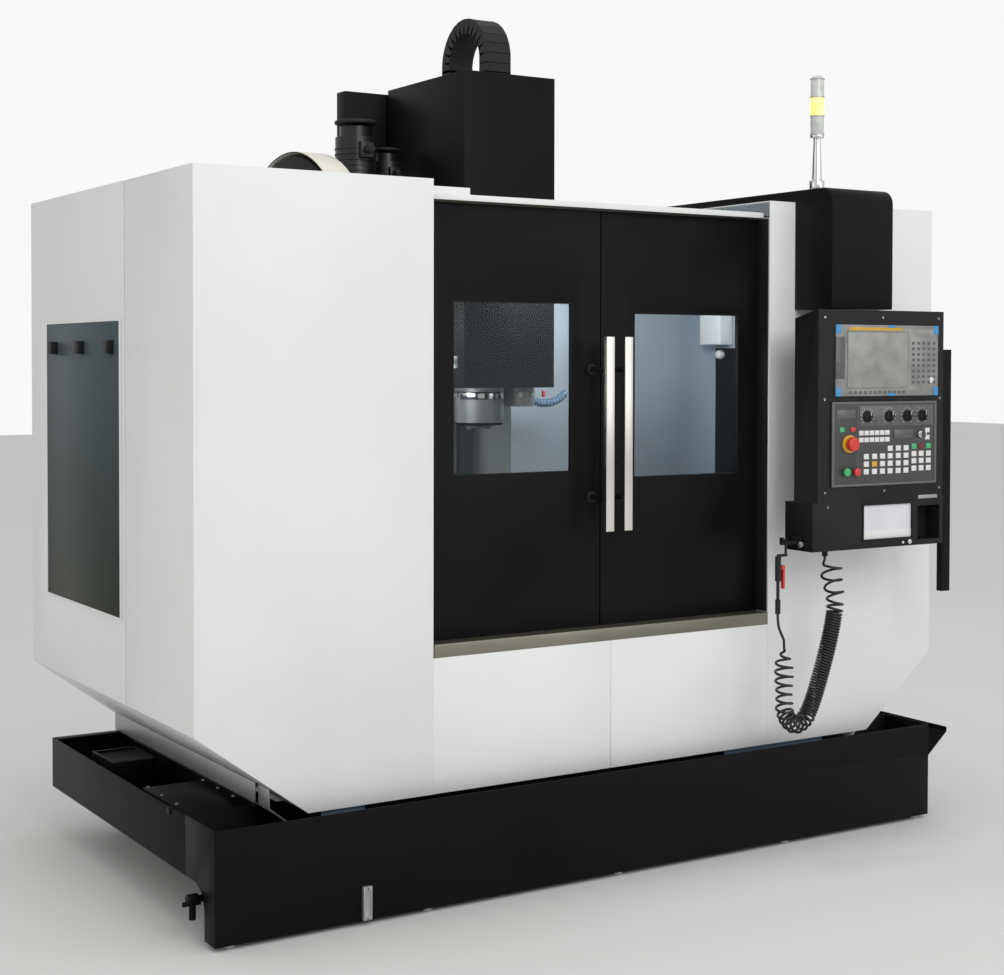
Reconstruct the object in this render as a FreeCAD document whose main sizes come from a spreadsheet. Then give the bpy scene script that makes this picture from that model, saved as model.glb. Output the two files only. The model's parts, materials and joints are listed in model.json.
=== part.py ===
"""Vertical machining center: sheet enclosure, C-frame with three linear axes, tool magazine and console.

The machine stands on the floor at z = 0 with its doors towards -Y. Sub-parts are drawn from the front
plane of the enclosure, and each one's Placement carries the shift "front_y" to the common origin, which
is the middle of the machine's footprint. Lengths are millimetres.
"""

import FreeCAD, Part

import math
import os
import re

import Sketcher

SIZES = [
    ("front_y", -880, "front plane of the enclosure, from the origin"),
    ("enc_half", 1300, "half of the enclosure's width"),
    ("enc_top", 2000, "roof of the two side modules"),
    ("enc_depth", 1360, "front plane to rear panels"),
    ("skin", 3, "folded sheet of the enclosure"),
    ("module_depth", 500, "depth of a front module's own side wall"),
    ("opening_half", 600, "half of the opening between the modules"),
    ("mid_top", 1965, "top of the header between the modules"),
    ("header_low", 1948, "lower edge of the header strip"),
    ("header_y", 30, "front of the header, behind the front plane"),
    ("skirt_z", 305, "lower edge of the front sheets"),
    ("chamfer_z", 540, "where the side walls start to slope in"),
    ("chamfer_left", 320, "width of the slope at the left"),
    ("chamfer_right", 280, "width of the slope at the right"),
    ("sill_low", 682, "lower edge of the sill"),
    ("sill_top", 719, "top of the sill"),
    ("door_y", 58, "front of the doors"),
    ("door_thick", 30, "door frame"),
    ("door_gap", 4, "gap between the two doors"),
    ("door_lap", 36, "door behind the module"),
    ("door_low", 719.3, "lower edge of the doors"),
    ("door_high", 1944, "upper edge of the doors"),
    ("pane_inset", 12, "pane, from the front of the door"),
    ("pane_thick", 8, "door pane"),
    ("pane_left_x", -503, "left window, left edge"),
    ("pane_left_low", 1180, "left window, lower edge"),
    ("pane_wide", 398, "window width"),
    ("pane_high", 489, "window height"),
    ("pane_right_x", 124, "right window, left edge"),
    ("pane_right_low", 1155, "right window, lower edge"),
    ("pull_low", 1007, "door pull, lower end"),
    ("pull_long", 565, "door pull, length"),
    ("pull_wide", 28, "door pull, width"),
    ("pull_deep", 16, "door pull, depth"),
    ("pull_x", 33, "door pull, centre from the middle"),
    ("pull_reach", 98, "door pull's front, ahead of the door"),
    ("post_rad", 8, "door pull's posts"),
    ("post_inset", 95, "posts, from the pull's ends"),
    ("base_left", -1270, "left wall of the tank"),
    ("base_right", 1241, "right wall of the tank"),
    ("base_front", -60, "front of the tank"),
    ("base_depth", 200, "depth of the front tank"),
    ("base_top", 310, "rim of the front tank"),
    ("base_low", 12, "underside of the front tank"),
    ("tank_wall", 4, "tank sheet"),
    ("trough_low", 150, "underside of the side troughs"),
    ("trough_top", 305, "rim of the side troughs"),
    ("trough_in", 1000, "inner wall of the side troughs"),
    ("trough_back", 1265, "rear wall of the side troughs"),
    ("flare_x", 1325, "outer edge of the flared wall"),
    ("flare_low", 206, "where the flare starts"),
    ("flare_top", 276, "where the flare turns up"),
    ("flare_rim", 292, "rim of the flared wall"),
    ("notch_depth", 70, "side of the tank's front apron"),
    ("notch_rad", 70, "radius of the notch under the left trough"),
    ("bed_half", 520, "half width of the bed casting"),
    ("bed_front", 160, "front of the bed casting"),
    ("bed_back", 1700, "back of the bed casting"),
    ("bed_low", 60, "underside of the bed"),
    ("bed_top", 560, "top of the bed"),
    ("rail_wide", 45, "linear rail, width"),
    ("rail_high", 30, "linear rail, height"),
    ("rail_pad", 20, "machined land under a rail"),
    ("rail_run", 0.1, "running clearance on a rail, each side"),
    ("block_wide", 86, "carriage, width"),
    ("block_long", 120, "carriage, length"),
    ("block_roof", 28, "carriage above its rail"),
    ("y_gauge", 230, "Y rails, from the middle"),
    ("y_rail_front", 260, "Y rails, front end"),
    ("y_rail_long", 1000, "Y rails, length"),
    ("spindle_y", 750, "spindle axis, from the front plane"),
    ("saddle_half_x", 560, "half length of the saddle"),
    ("saddle_half_y", 205, "half width of the saddle"),
    ("saddle_high", 100, "saddle thickness"),
    ("x_gauge", 145, "X rails, from the spindle plane"),
    ("table_half_x", 500, "half of the table's length"),
    ("table_half_y", 250, "half of the table's width"),
    ("table_thick", 72, "table thickness"),
    ("slot_wide", 18, "T-slot mouth"),
    ("slot_foot", 30, "T-slot foot width"),
    ("slot_mouth", 14, "depth of the mouth"),
    ("slot_deep", 28, "whole depth of a T-slot"),
    ("slot_pitch", 90, "T-slot pitch"),
    ("column_front", 1270, "front face of the column"),
    ("column_half", 290, "half width of the column"),
    ("column_top", 2200, "top of the column"),
    ("column_foot", 430, "depth of the column at its foot"),
    ("column_head", 320, "depth of the column at its top"),
    ("z_gauge", 180, "Z rails, from the middle"),
    ("z_rail_low", 1100, "Z rails, lower end"),
    ("z_rail_long", 1050, "Z rails, length"),
    ("head_half", 150, "half width of the head casting"),
    ("head_front", 620, "front of the head casting"),
    ("head_low", 1450, "underside of the head casting"),
    ("head_top", 1900, "top of the head casting"),
    ("head_wing", 226, "half width of the head's carriage plate"),
    ("head_wall", 40, "head casting wall"),
    ("cover_half", 170, "half width of the head cover"),
    ("cover_front", 560, "front of the head cover"),
    ("cover_back", 1068, "back of the head cover"),
    ("cover_low", 1416, "lower edge of the head cover"),
    ("cover_top", 2415, "top of the head cover"),
    ("nose_rad", 80, "spindle housing radius"),
    ("nose_low", 1300, "lower face of the spindle housing"),
    ("nose_bore", 44.5, "bore of the spindle housing"),
    ("shaft_rad", 44.45, "spindle radius"),
    ("shaft_low", 1283, "lower face of the spindle"),
    ("taper_big", 22.2, "spindle taper, mouth radius"),
    ("taper_small", 12.6, "spindle taper, inner radius"),
    ("taper_deep", 66, "spindle taper, depth"),
    ("motor_rad", 105, "spindle motor radius"),
    ("cap_half", 324, "half width of the column cap"),
    ("cap_front", 1084, "front of the column cap"),
    ("cap_deep", 60, "depth of the column cap"),
    ("cap_low", 2150, "lower edge of the column cap"),
    ("cap_top", 2404, "top of the column cap"),
    ("chain_x", 75, "energy chain, left side"),
    ("chain_wide", 95, "energy chain, width"),
    ("chain_y", 977, "energy chain, centre of the bend"),
    ("chain_rad", 150, "energy chain, outer radius"),
    ("chain_thick", 50, "energy chain, link height"),
    ("chain_z", 2517, "energy chain, centre of the bend"),
    ("drum_left", -700, "magazine cover, left edge"),
    ("drum_deep", 90, "magazine cover, width"),
    ("drum_rad", 400, "magazine cover, outer radius"),
    ("drum_y", 722, "magazine axis, from the front plane"),
    ("drum_z", 1738, "magazine axis, height"),
    ("hub_rad", 40, "magazine hub"),
    ("hub_run", 0.06, "running clearance of the magazine hub"),
    ("disc_rad", 386, "magazine disc radius"),
    ("disc_thick", 16, "magazine disc"),
    ("pot_ring", 338, "pitch radius of the tool pots"),
    ("pot_rad", 32, "tool pot radius"),
    ("pot_long", 52, "tool pot length"),
    ("cam_left", -470, "cam box, left side"),
    ("cam_wide", 270, "cam box, width"),
    ("cam_front", 690, "cam box, front"),
    ("cam_deep", 370, "cam box, depth"),
    ("cam_low", 1560, "cam box, underside"),
    ("cam_top", 1960, "cam box, top"),
    ("arm_reach", 330, "change arm, centre to gripper"),
    ("side_window_y", 532, "side cover, front edge"),
    ("side_window_deep", 655, "side cover, width"),
    ("side_window_low", 780, "side cover, lower edge"),
    ("side_window_high", 832, "side cover, height"),
    ("side_window_thick", 5, "side cover, thickness"),
    ("clamp_size", 38, "square clamp"),
    ("clamp_deep", 20, "square clamp, depth"),
    ("duct_left", 702, "console arm, left side"),
    ("duct_wide", 254, "console arm, width"),
    ("duct_front", -170, "console arm, front"),
    ("duct_deep", 170, "console arm, depth of the upright"),
    ("duct_low", 1664, "console arm, lower end"),
    ("duct_top", 2036, "console arm, top"),
    ("duct_roof", 36, "height of the duct on the roof"),
    ("duct_long", 1060, "duct on the roof, length"),
    ("duct_round", 44, "outer corner of the arm"),
    ("tower_x", 755, "signal tower axis"),
    ("tower_y", -40, "signal tower axis, from the front plane"),
    ("tier_rad", 22, "signal tower lens radius"),
    ("tier_high", 58, "signal tower lens height"),
    ("tower_tiers", 2210, "lower face of the lowest lens"),
    ("box_left", 576, "console, left side"),
    ("box_wide", 521, "console, width"),
    ("box_front", -250, "console, front face"),
    ("box_deep", 105, "console, depth"),
    ("box_low", 932, "console, lower edge"),
    ("box_top", 1658, "console, top edge"),
    ("box_fall", 26, "slope of the console's top"),
    ("tray_top", 1078, "top of the console's lower box"),
    ("tray_out", 20, "lower box, further out at the left"),
    ("tray_deep", 122, "lower box, depth"),
    ("screen_left", 641, "screen unit, left edge"),
    ("screen_wide", 427, "screen unit, width"),
    ("screen_low", 1397, "screen unit, lower edge"),
    ("screen_high", 216, "screen unit, height"),
    ("keys_left", 627, "key panel, left edge"),
    ("keys_wide", 436, "key panel, width"),
    ("keys_low", 1124, "key panel, lower edge"),
    ("keys_high", 256, "key panel, height"),
    ("panel_proud", 5, "panels, ahead of the console's face"),
    ("knob_z", 1335, "rotary knobs, height"),
    ("knob_rad", 15, "rotary knobs"),
    ("knob_long", 17, "rotary knobs"),
    ("stem_rad", 5, "stems of knobs and buttons"),
    ("stem_run", 0.05, "running clearance of the stems"),
    ("stop_rad", 21, "emergency stop"),
    ("button_rad", 12, "start and stop buttons"),
    ("swivel_x", 760, "console swivel, from the middle"),
    ("swivel_y", -95, "console swivel, from the front plane"),
    ("swivel_rad", 25, "swivel pin"),
    ("swivel_run", 0.08, "running clearance of the swivel"),
    ("cabinet_left", -480, "electrical cabinet, left side"),
    ("cabinet_wide", 960, "electrical cabinet, width"),
    ("cabinet_front", 1720, "electrical cabinet, front"),
    ("cabinet_deep", 300, "electrical cabinet, depth"),
    ("cabinet_low", 420, "electrical cabinet, underside"),
    ("cabinet_high", 1450, "electrical cabinet, height"),
    ("hose_rad", 4, "air hose radius"),
    ("coil_rad", 27, "outer radius of the hose's coils"),
    ("hose_y", -190, "plane of the hanging hose"),
]

DRUM_POTS = 24
FOOT_X = (-430, 430)
FOOT_Y = (230, 700, 1170, 1640)
TANK_FOOT_X = (-1220, -640, 0, 640, 1200)
KNOB_X = (769, 860, 937, 1001)
AXES = {
    "+x": FreeCAD.Rotation(FreeCAD.Vector(0, 1, 0), 90),
    "+y": FreeCAD.Rotation(FreeCAD.Vector(1, 0, 0), -90),
    "-y": FreeCAD.Rotation(FreeCAD.Vector(1, 0, 0), 90),
    "+z": FreeCAD.Rotation(),
}
PLANES = {"xz": "XZ_Plane", "yz": "YZ_Plane", "xy": "XY_Plane"}

doc = FreeCAD.newDocument("machining_center")
sheet = doc.addObject("Spreadsheet::Sheet", "Sizes")
for row, (alias, value, note) in enumerate(SIZES, 1):
    sheet.set(f"A{row}", note)
    sheet.set(f"B{row}", str(value))
    sheet.setAlias(f"B{row}", alias)
doc.recompute()

VALUES = {alias: float(value) for alias, value, note in SIZES}
WORDS = re.compile(r"\b(" + "|".join(sorted(VALUES, key=len, reverse=True)) + r")\b")
sub_parts = []


def size(alias):
    """The value of a driving dimension, in millimetres."""
    return float(getattr(sheet, alias))


def amount(text):
    """The value of a sum of driving dimensions, as the spreadsheet works it out."""
    sheet.set("D1", "=" + str(text))
    sheet.recompute()
    return float(sheet.get("D1"))


def bind(item, name, text):
    """Ties a property of an object to driving dimensions."""
    item.setExpression(name, WORDS.sub(lambda found: "Sizes." + found.group(0), str(text)))


def place(item, x, y, z):
    """Ties an object's place to driving dimensions."""
    bind(item, "Placement.Base.x", x)
    bind(item, "Placement.Base.y", y)
    bind(item, "Placement.Base.z", z)
    return item


def box(x, y, z, wide, deep, high):
    """A box from its lowest corner and its three sizes."""
    item = doc.addObject("Part::Box", "block")
    bind(item, "Length", wide)
    bind(item, "Width", deep)
    bind(item, "Height", high)
    return place(item, x, y, z)


def cylinder(axis, x, y, z, radius, length):
    """A cylinder from the centre of its first end, along one of AXES."""
    item = doc.addObject("Part::Cylinder", "round")
    item.Placement = FreeCAD.Placement(FreeCAD.Vector(), AXES[axis])
    bind(item, "Radius", radius)
    bind(item, "Height", length)
    return place(item, x, y, z)


def cone(axis, x, y, z, radius_1, radius_2, length):
    """A cone from the centre of its first end, along one of AXES."""
    item = doc.addObject("Part::Cone", "taper")
    item.Placement = FreeCAD.Placement(FreeCAD.Vector(), AXES[axis])
    bind(item, "Radius1", radius_1)
    bind(item, "Radius2", radius_2)
    bind(item, "Height", length)
    return place(item, x, y, z)


def outline(body, name, plane, points):
    """A closed, fully bound polygon sketched on one of a body's own planes."""
    sketch = body.newObject("Sketcher::SketchObject", name)
    role = PLANES[plane]
    sketch.AttachmentSupport = [(next(f for f in body.Origin.OriginFeatures if f.Role == role), "")]
    sketch.MapMode = "FlatFace"
    places = [FreeCAD.Vector(amount(across), amount(up), 0) for across, up in points]
    count = len(points)
    for index in range(count):
        sketch.addGeometry(Part.LineSegment(places[index], places[(index + 1) % count]), False)
    for index in range(count):
        sketch.addConstraint(Sketcher.Constraint("Coincident", index, 2, (index + 1) % count, 1))
    for index, (across, up) in enumerate(points):
        for kind, text, value in (
            ("DistanceX", across, places[index].x),
            ("DistanceY", up, places[index].y),
        ):
            number = sketch.addConstraint(Sketcher.Constraint(kind, -1, 1, index, 1, value))
            bind(sketch, f"Constraints[{number}]", text)
    return sketch


def profile(plane, points, length, at="0"):
    """A pad of a polygon: from Y = at backwards (xz), X = at to the right (yz) or Z = at upwards (xy)."""
    body = doc.addObject("PartDesign::Body", "profile")
    pad = body.newObject("PartDesign::Pad", "pad")
    pad.Profile = outline(body, "outline", plane, points)
    pad.Reversed = plane == "xz"
    bind(pad, "Length", length)
    bind(body, {"xz": "Placement.Base.y", "yz": "Placement.Base.x", "xy": "Placement.Base.z"}[plane], at)
    return body


def fuse(*parts):
    """One solid from several."""
    item = doc.addObject("Part::MultiFuse", "joined")
    item.Shapes = list(parts)
    item.Refine = True
    return item


def group(*parts):
    """Separate solids that share one node."""
    item = doc.addObject("Part::Compound", "group")
    item.Links = list(parts)
    return item


def cut(base, *tools):
    """A solid less several others."""
    item = doc.addObject("Part::Cut", "cut")
    item.Base = base
    item.Tool = tools[0] if len(tools) == 1 else group(*tools)
    return item


def node(label, item):
    """Names a sub-part and shifts it from the front plane to the common origin."""
    item.Label = label
    found = {name: text for name, text in item.ExpressionEngine}
    here = found.get(".Placement.Base.y", found.get("Placement.Base.y", "0"))
    item.setExpression("Placement.Base.y", f"Sizes.front_y + ({here})")
    sub_parts.append(item)
    return item


def solid_node(label, shape):
    """Names a sub-part whose shape is worked out point by point, about the common origin."""
    item = doc.addObject("Part::Feature", label)
    item.Shape = shape
    item.Label = label
    bind(item, "Placement.Base.y", "front_y")
    sub_parts.append(item)
    return item


def shell(x, y, z, wide, deep, high, wall):
    """A tank open at the top."""
    return cut(
        box(x, y, z, wide, deep, high),
        box(
            f"{x} + {wall}",
            f"{y} + {wall}",
            f"{z} + {wall}",
            f"{wide} - 2 * {wall}",
            f"{deep} - 2 * {wall}",
            high,
        ),
    )


# ---------------------------------------------------------------- bed, feet, tank


def make_bed():
    """The bed casting: a ribbed block, hollow from below, with two lands for the Y rails."""
    block = box(
        "-bed_half", "bed_front", "bed_low", "2 * bed_half", "bed_back - bed_front", "bed_top - bed_low"
    )
    lands = [
        box(
            f"{side} * y_gauge - rail_wide",
            "y_rail_front",
            "bed_top - 5",
            "2 * rail_wide",
            "y_rail_long",
            "rail_pad + 5",
        )
        for side in (-1, 1)
    ]
    pockets = []
    for side in (-1, 1):
        for step in range(4):
            low = "-bed_half - 1" if side < 0 else "bed_half - 100"
            pockets.append(box(low, f"bed_front + 90 + {step} * 370", "bed_low + 80", "101", "250", "300"))
    for column in range(-1, 2):
        for step in range(5):
            pockets.append(
                box(
                    f"{column} * 270 - 110",
                    f"bed_front + 60 + {step} * 290",
                    "bed_low - 1",
                    "220",
                    "250",
                    "421",
                ),
            )
    return node("bed_casting", cut(fuse(block, *lands), *pockets))


def make_feet():
    """Levelling feet under the bed, short feet under the tank and legs under the side troughs."""
    parts = []
    for x in FOOT_X:
        for y in FOOT_Y:
            parts.append(
                fuse(cylinder("+z", x, y, 0, 60, 22), cylinder("+z", x, y, 20, 16, "bed_low - 20"))
            )
    for x in TANK_FOOT_X:
        parts.append(cylinder("+z", x, "base_front + 30", 0, 18, "base_low"))
    for x in (-1040, 1040, 1180):
        parts.append(box(f"{x} - 20", "trough_back - 80", 0, 40, 40, "trough_low"))
    return node("levelling_feet", group(*parts))


def make_front_tank():
    """The coolant tank across the front, with a raised left end over a notch and a flared right rim."""
    whole = box(
        "base_left", "base_front", "base_low", "base_right - base_left", "base_depth", "base_top - base_low"
    )
    inner_y, inner_deep = "base_front + tank_wall", "base_depth - 2 * tank_wall"
    main = box(
        "base_left + 104", inner_y, "base_low + tank_wall", "base_right - base_left - 108", inner_deep, "base_top"
    )
    raised = box("base_left + tank_wall", inner_y, "trough_low + tank_wall", 110, inner_deep, "base_top")
    corner = "base_front + notch_depth"
    notch_1 = box(
        "base_left - 1",
        f"{corner} + notch_rad",
        "base_low - 1",
        101,
        "base_depth",
        "trough_low - base_low + 1",
    )
    notch_2 = box(
        "base_left - 1", corner, "base_low - 1", 101, "notch_rad + 1", "trough_low - base_low - notch_rad + 1"
    )
    arc = cylinder(
        "+x", "base_left - 1", f"{corner} + notch_rad", "trough_low - notch_rad", "notch_rad", 101
    )
    flare = profile(
        "xz",
        [
            ("base_right", "flare_low"),
            ("flare_x", "flare_top"),
            ("flare_x", "flare_rim"),
            ("flare_x - tank_wall", "flare_rim"),
            ("flare_x - tank_wall", "flare_top + 2"),
            ("base_right", "flare_low + 5"),
        ],
        "base_depth",
        "base_front",
    )
    return node("front_tank", fuse(cut(whole, main, raised, fuse(notch_1, notch_2, arc)), flare))


def make_troughs():
    """The open troughs along both sides of the bed."""
    back = "base_front + base_depth"
    left = shell(
        "base_left",
        back,
        "trough_low",
        "-trough_in - base_left",
        f"trough_back - ({back})",
        "trough_top - trough_low",
        "tank_wall",
    )
    flare = profile(
        "xz",
        [
            ("trough_in", "trough_low"),
            ("base_right", "trough_low"),
            ("base_right", "flare_low"),
            ("flare_x", "flare_top"),
            ("flare_x", "flare_rim"),
            ("flare_x - tank_wall", "flare_rim"),
            ("flare_x - tank_wall", "flare_top + 2"),
            ("base_right - tank_wall", "flare_low + 2"),
            ("base_right - tank_wall", "trough_low + tank_wall"),
            ("trough_in + tank_wall", "trough_low + tank_wall"),
            ("trough_in + tank_wall", "flare_rim"),
            ("trough_in", "flare_rim"),
        ],
        f"trough_back - ({back})",
        back,
    )
    end = profile(
        "xz",
        [
            ("trough_in", "trough_low"),
            ("base_right", "trough_low"),
            ("base_right", "flare_low"),
            ("flare_x", "flare_top"),
            ("flare_x", "flare_rim"),
            ("trough_in", "flare_rim"),
        ],
        "tank_wall",
        "trough_back - tank_wall",
    )
    return node("side_troughs", group(left, fuse(flare, end)))


def make_tank_fittings():
    """Filter and pump boxes in the left trough, the level gauge and the drain valve's body."""
    floor = "trough_low + tank_wall"
    pump = cut(
        box(-1215, 860, floor, 143, 190, 142),
        box(-1205, 870, "trough_top - 15", 123, 170, 10),
    )
    filter_box = profile(
        "yz",
        [
            ("170", floor),
            ("540", floor),
            ("540", "trough_top - 12"),
            ("300", "trough_top - 12"),
            ("170", "trough_top - 55"),
        ],
        "170",
        "-1240",
    )
    gauge = cut(
        box(-853, "base_front - 12", 16, 26, 12, 90),
        box(-847, "base_front - 13", 26, 14, 4, 70),
    )
    pipe_z = "trough_low - 38"
    valve = cut(
        fuse(
            cylinder("+x", "base_left - 2", 50, pipe_z, 9, 102),
            cylinder("+x", "base_left - 30", 50, pipe_z, 15, 28),
            cylinder("+z", "base_left - 16", 50, "trough_low - 90", 9, 52),
        ),
        cylinder("+z", "base_left - 16", 50, "trough_low - 91", 6, 30),
    )
    return node("tank_fittings", group(pump, filter_box, gauge, valve))


def make_drain_lever():
    """The drain valve's lever, on a stem that points forwards."""
    stem_z = "trough_low - 38"
    return node(
        "drain_lever",
        fuse(
            cylinder("-y", "base_left - 16", "50 - 15.2", stem_z, 5, 12),
            box("base_left - 55", "50 - 32", f"{stem_z} - 6", 50, 5, 12),
        ),
    )


# ---------------------------------------------------------------- column and axes


def make_column():
    """The column casting: tapered to the rear, hollow, with the Z motor's bracket on top."""
    body = profile(
        "yz",
        [
            ("column_front", "bed_top"),
            ("column_front + column_foot", "bed_top"),
            ("column_front + column_foot", "bed_top + 160"),
            ("column_front + column_head", "column_top - 300"),
            ("column_front + column_head", "column_top"),
            ("column_front", "column_top"),
        ],
        "2 * column_half",
        "-column_half",
    )
    hollow = box(
        "-column_half + 60", "column_front + 50", "bed_top + 120", "2 * column_half - 120", "column_head - 100", "column_top - bed_top - 240"
    )
    bracket = box(
        "-column_half + 40", "cap_front + skin", "cap_low + skin", "2 * column_half - 80", "column_front - cap_front - skin", "column_top - cap_low - skin"
    )
    return node("column", group(cut(body, hollow), bracket))


def make_column_cap():
    """The black guard across the column's head, with its back open."""
    outer = box("-cap_half", "cap_front", "cap_low", "2 * cap_half", "cap_deep", "cap_top - cap_low")
    inner = box(
        "-cap_half + skin",
        "cap_front + skin",
        "cap_low + skin",
        "2 * (cap_half - skin)",
        "cap_deep",
        "cap_top - cap_low - 2 * skin",
    )
    return node("column_cap", cut(outer, inner))


def make_rails():
    """The Y rails on the bed and the Z rails on the column."""
    parts = []
    for side in (-1, 1):
        parts.append(
            box(
                f"{side} * y_gauge - rail_wide / 2",
                "y_rail_front",
                "bed_top + rail_pad",
                "rail_wide",
                "y_rail_long",
                "rail_high",
            )
        )
        parts.append(
            box(
                f"{side} * z_gauge - rail_wide / 2",
                "column_front - rail_high",
                "z_rail_low",
                "rail_wide",
                "rail_high",
                "z_rail_long",
            )
        )
    return node("linear_rails", group(*parts))


def carriage(x, y, z, along):
    """One carriage: a block over a rail. Its rail runs along X or Y under it."""
    wide, deep = ("block_long", "block_wide") if along == "x" else ("block_wide", "block_long")
    block = box(
        f"{x} - {wide} / 2", f"{y} - {deep} / 2", f"{z} + 8", wide, deep, "rail_high + block_roof - 8"
    )
    if along == "x":
        groove = box(
            f"{x} - {wide}", f"{y} - rail_wide / 2 - rail_run", f"{z} - 1", f"2 * {wide}", "rail_wide + 2 * rail_run", "rail_high + 1 + rail_run"
        )
    else:
        groove = box(
            f"{x} - rail_wide / 2 - rail_run", f"{y} - {deep}", f"{z} - 1", "rail_wide + 2 * rail_run", f"2 * {deep}", "rail_high + 1 + rail_run"
        )
    return cut(block, groove)


SADDLE_LOW = "bed_top + rail_pad + rail_high + block_roof"
SADDLE_TOP = f"{SADDLE_LOW} + saddle_high"
TABLE_LOW = f"{SADDLE_TOP} + rail_high + block_roof"


def make_saddle():
    """The cross slide with its front way cover, the X rails on it and the carriages that it rides on."""
    slab = box(
        "-saddle_half_x",
        "spindle_y - saddle_half_y",
        SADDLE_LOW,
        "2 * saddle_half_x",
        "2 * saddle_half_y",
        "saddle_high",
    )
    relief = box(
        "-saddle_half_x + 140",
        "spindle_y - 90",
        SADDLE_LOW,
        "2 * saddle_half_x - 280",
        180,
        "saddle_high - 30",
    )
    guard_top = box(
        "-saddle_half_x + 200",
        "spindle_y - saddle_half_y - 190",
        f"{SADDLE_LOW} + 20",
        "2 * saddle_half_x - 400",
        190,
        4,
    )
    guard_sides = [
        box(x, "spindle_y - saddle_half_y - 190", f"{SADDLE_LOW} - 40", 4, 190, 64)
        for x in ("-saddle_half_x + 200", "saddle_half_x - 204")
    ]
    parts = [fuse(cut(slab, relief), guard_top, *guard_sides)]
    for side in (-1, 1):
        parts.append(
            box(
                "-saddle_half_x",
                f"spindle_y + {side} * x_gauge - rail_wide / 2",
                SADDLE_TOP,
                "2 * saddle_half_x",
                "rail_wide",
                "rail_high",
            )
        )
        for end in (-1, 1):
            parts.append(
                carriage(
                    f"{side} * y_gauge",
                    f"spindle_y + {end} * (saddle_half_y - block_long / 2)",
                    "bed_top + rail_pad",
                    "y",
                ),
            )
    return node("saddle", group(*parts))


def make_table():
    """The table with five T-slots, on four carriages."""
    slab = box(
        "-table_half_x",
        "spindle_y - table_half_y",
        TABLE_LOW,
        "2 * table_half_x",
        "2 * table_half_y",
        "table_thick",
    )
    slots = []
    for step in range(-2, 3):
        middle = f"spindle_y + {step} * slot_pitch"
        top = f"{TABLE_LOW} + table_thick"
        slots.append(
            box(
                "-table_half_x - 1",
                f"{middle} - slot_wide / 2",
                f"{top} - slot_deep",
                "2 * table_half_x + 2",
                "slot_wide",
                "slot_deep + 1",
            ),
        )
        slots.append(
            box(
                "-table_half_x - 1",
                f"{middle} - slot_foot / 2",
                f"{top} - slot_deep",
                "2 * table_half_x + 2",
                "slot_foot",
                "slot_deep - slot_mouth",
            )
        )
    blocks = [
        carriage(
            f"{end} * 100", f"spindle_y + {side} * x_gauge", SADDLE_TOP, "x"
        ) for side in (-1, 1) for end in (-1, 1)
    ]
    return node("table", group(cut(slab, *[fuse(*slots[i : i + 2]) for i in range(0, 10, 2)]), *blocks))


def make_head_casting():
    """The head: a hollow casting with a carriage plate at its back, on four carriages."""
    plate_back = "column_front - rail_high - block_roof"
    block = box(
        "-head_half",
        "head_front",
        "head_low",
        "2 * head_half",
        f"{plate_back} - head_front",
        "head_top - head_low",
    )
    wing = box("-head_wing", f"{plate_back} - 40", "head_low", "2 * head_wing", 40, "head_top - head_low")
    hollow = box(
        "-head_half + head_wall",
        "head_front + head_wall",
        "head_low + head_wall",
        "2 * (head_half - head_wall)",
        f"{plate_back} - head_front - 2 * head_wall - 30",
        "head_top - head_low - 2 * head_wall",
    )
    bore = cylinder("+z", 0, "spindle_y", "head_low - 1", "nose_rad", "head_wall + 2")
    top_hole = cylinder("+z", 0, "spindle_y", "head_top - head_wall - 1", 50, "head_wall + 2")
    blocks = []
    for side in (-1, 1):
        for z in ("head_low + 10", "head_top - 10 - block_long"):
            whole = box(
                f"{side} * z_gauge - block_wide / 2",
                plate_back,
                z,
                "block_wide",
                "rail_high + block_roof - 8",
                "block_long",
            )
            groove = box(
                f"{side} * z_gauge - rail_wide / 2 - rail_run", "column_front - rail_high - rail_run", f"{z} - 1", "rail_wide + 2 * rail_run", "rail_high + 1", "block_long + 2"
            )
            blocks.append(cut(whole, groove))
    return node("head_casting", group(cut(fuse(block, wing), hollow, bore, top_hole), *blocks))


def make_head_cover():
    """The black sheet cover round the head, open at the back where the casting comes out."""
    outer = box(
        "-cover_half",
        "cover_front",
        "cover_low",
        "2 * cover_half",
        "cover_back - cover_front",
        "cover_top - cover_low",
    )
    inner = box(
        "-cover_half + skin",
        "cover_front + skin",
        "cover_low + skin",
        "2 * (cover_half - skin)",
        "cover_back - cover_front - 2 * skin",
        "cover_top - cover_low - 2 * skin",
    )
    back = box(
        "-cover_half + skin",
        "cover_back - skin - 1",
        "cover_low + skin",
        "2 * (cover_half - skin)",
        "skin + 2",
        "head_top - cover_low + 40",
    )
    nose = cylinder("+z", 0, "spindle_y", "cover_low - 1", "nose_rad + 22", "skin + 2")
    return node("head_cover", cut(outer, inner, back, nose))


def make_spindle_housing():
    """The spindle's cartridge, hung from the head by its flange."""
    outer = fuse(
        cylinder("+z", 0, "spindle_y", "nose_low", "nose_rad", "head_low + head_wall - nose_low + 110"),
        cylinder("+z", 0, "spindle_y", "head_low - 18", "nose_rad + 20", 18),
    )
    return node(
        "spindle_housing", cut(outer, cylinder("+z", 0, "spindle_y", "nose_low - 1", "nose_bore", 400))
    )


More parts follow.
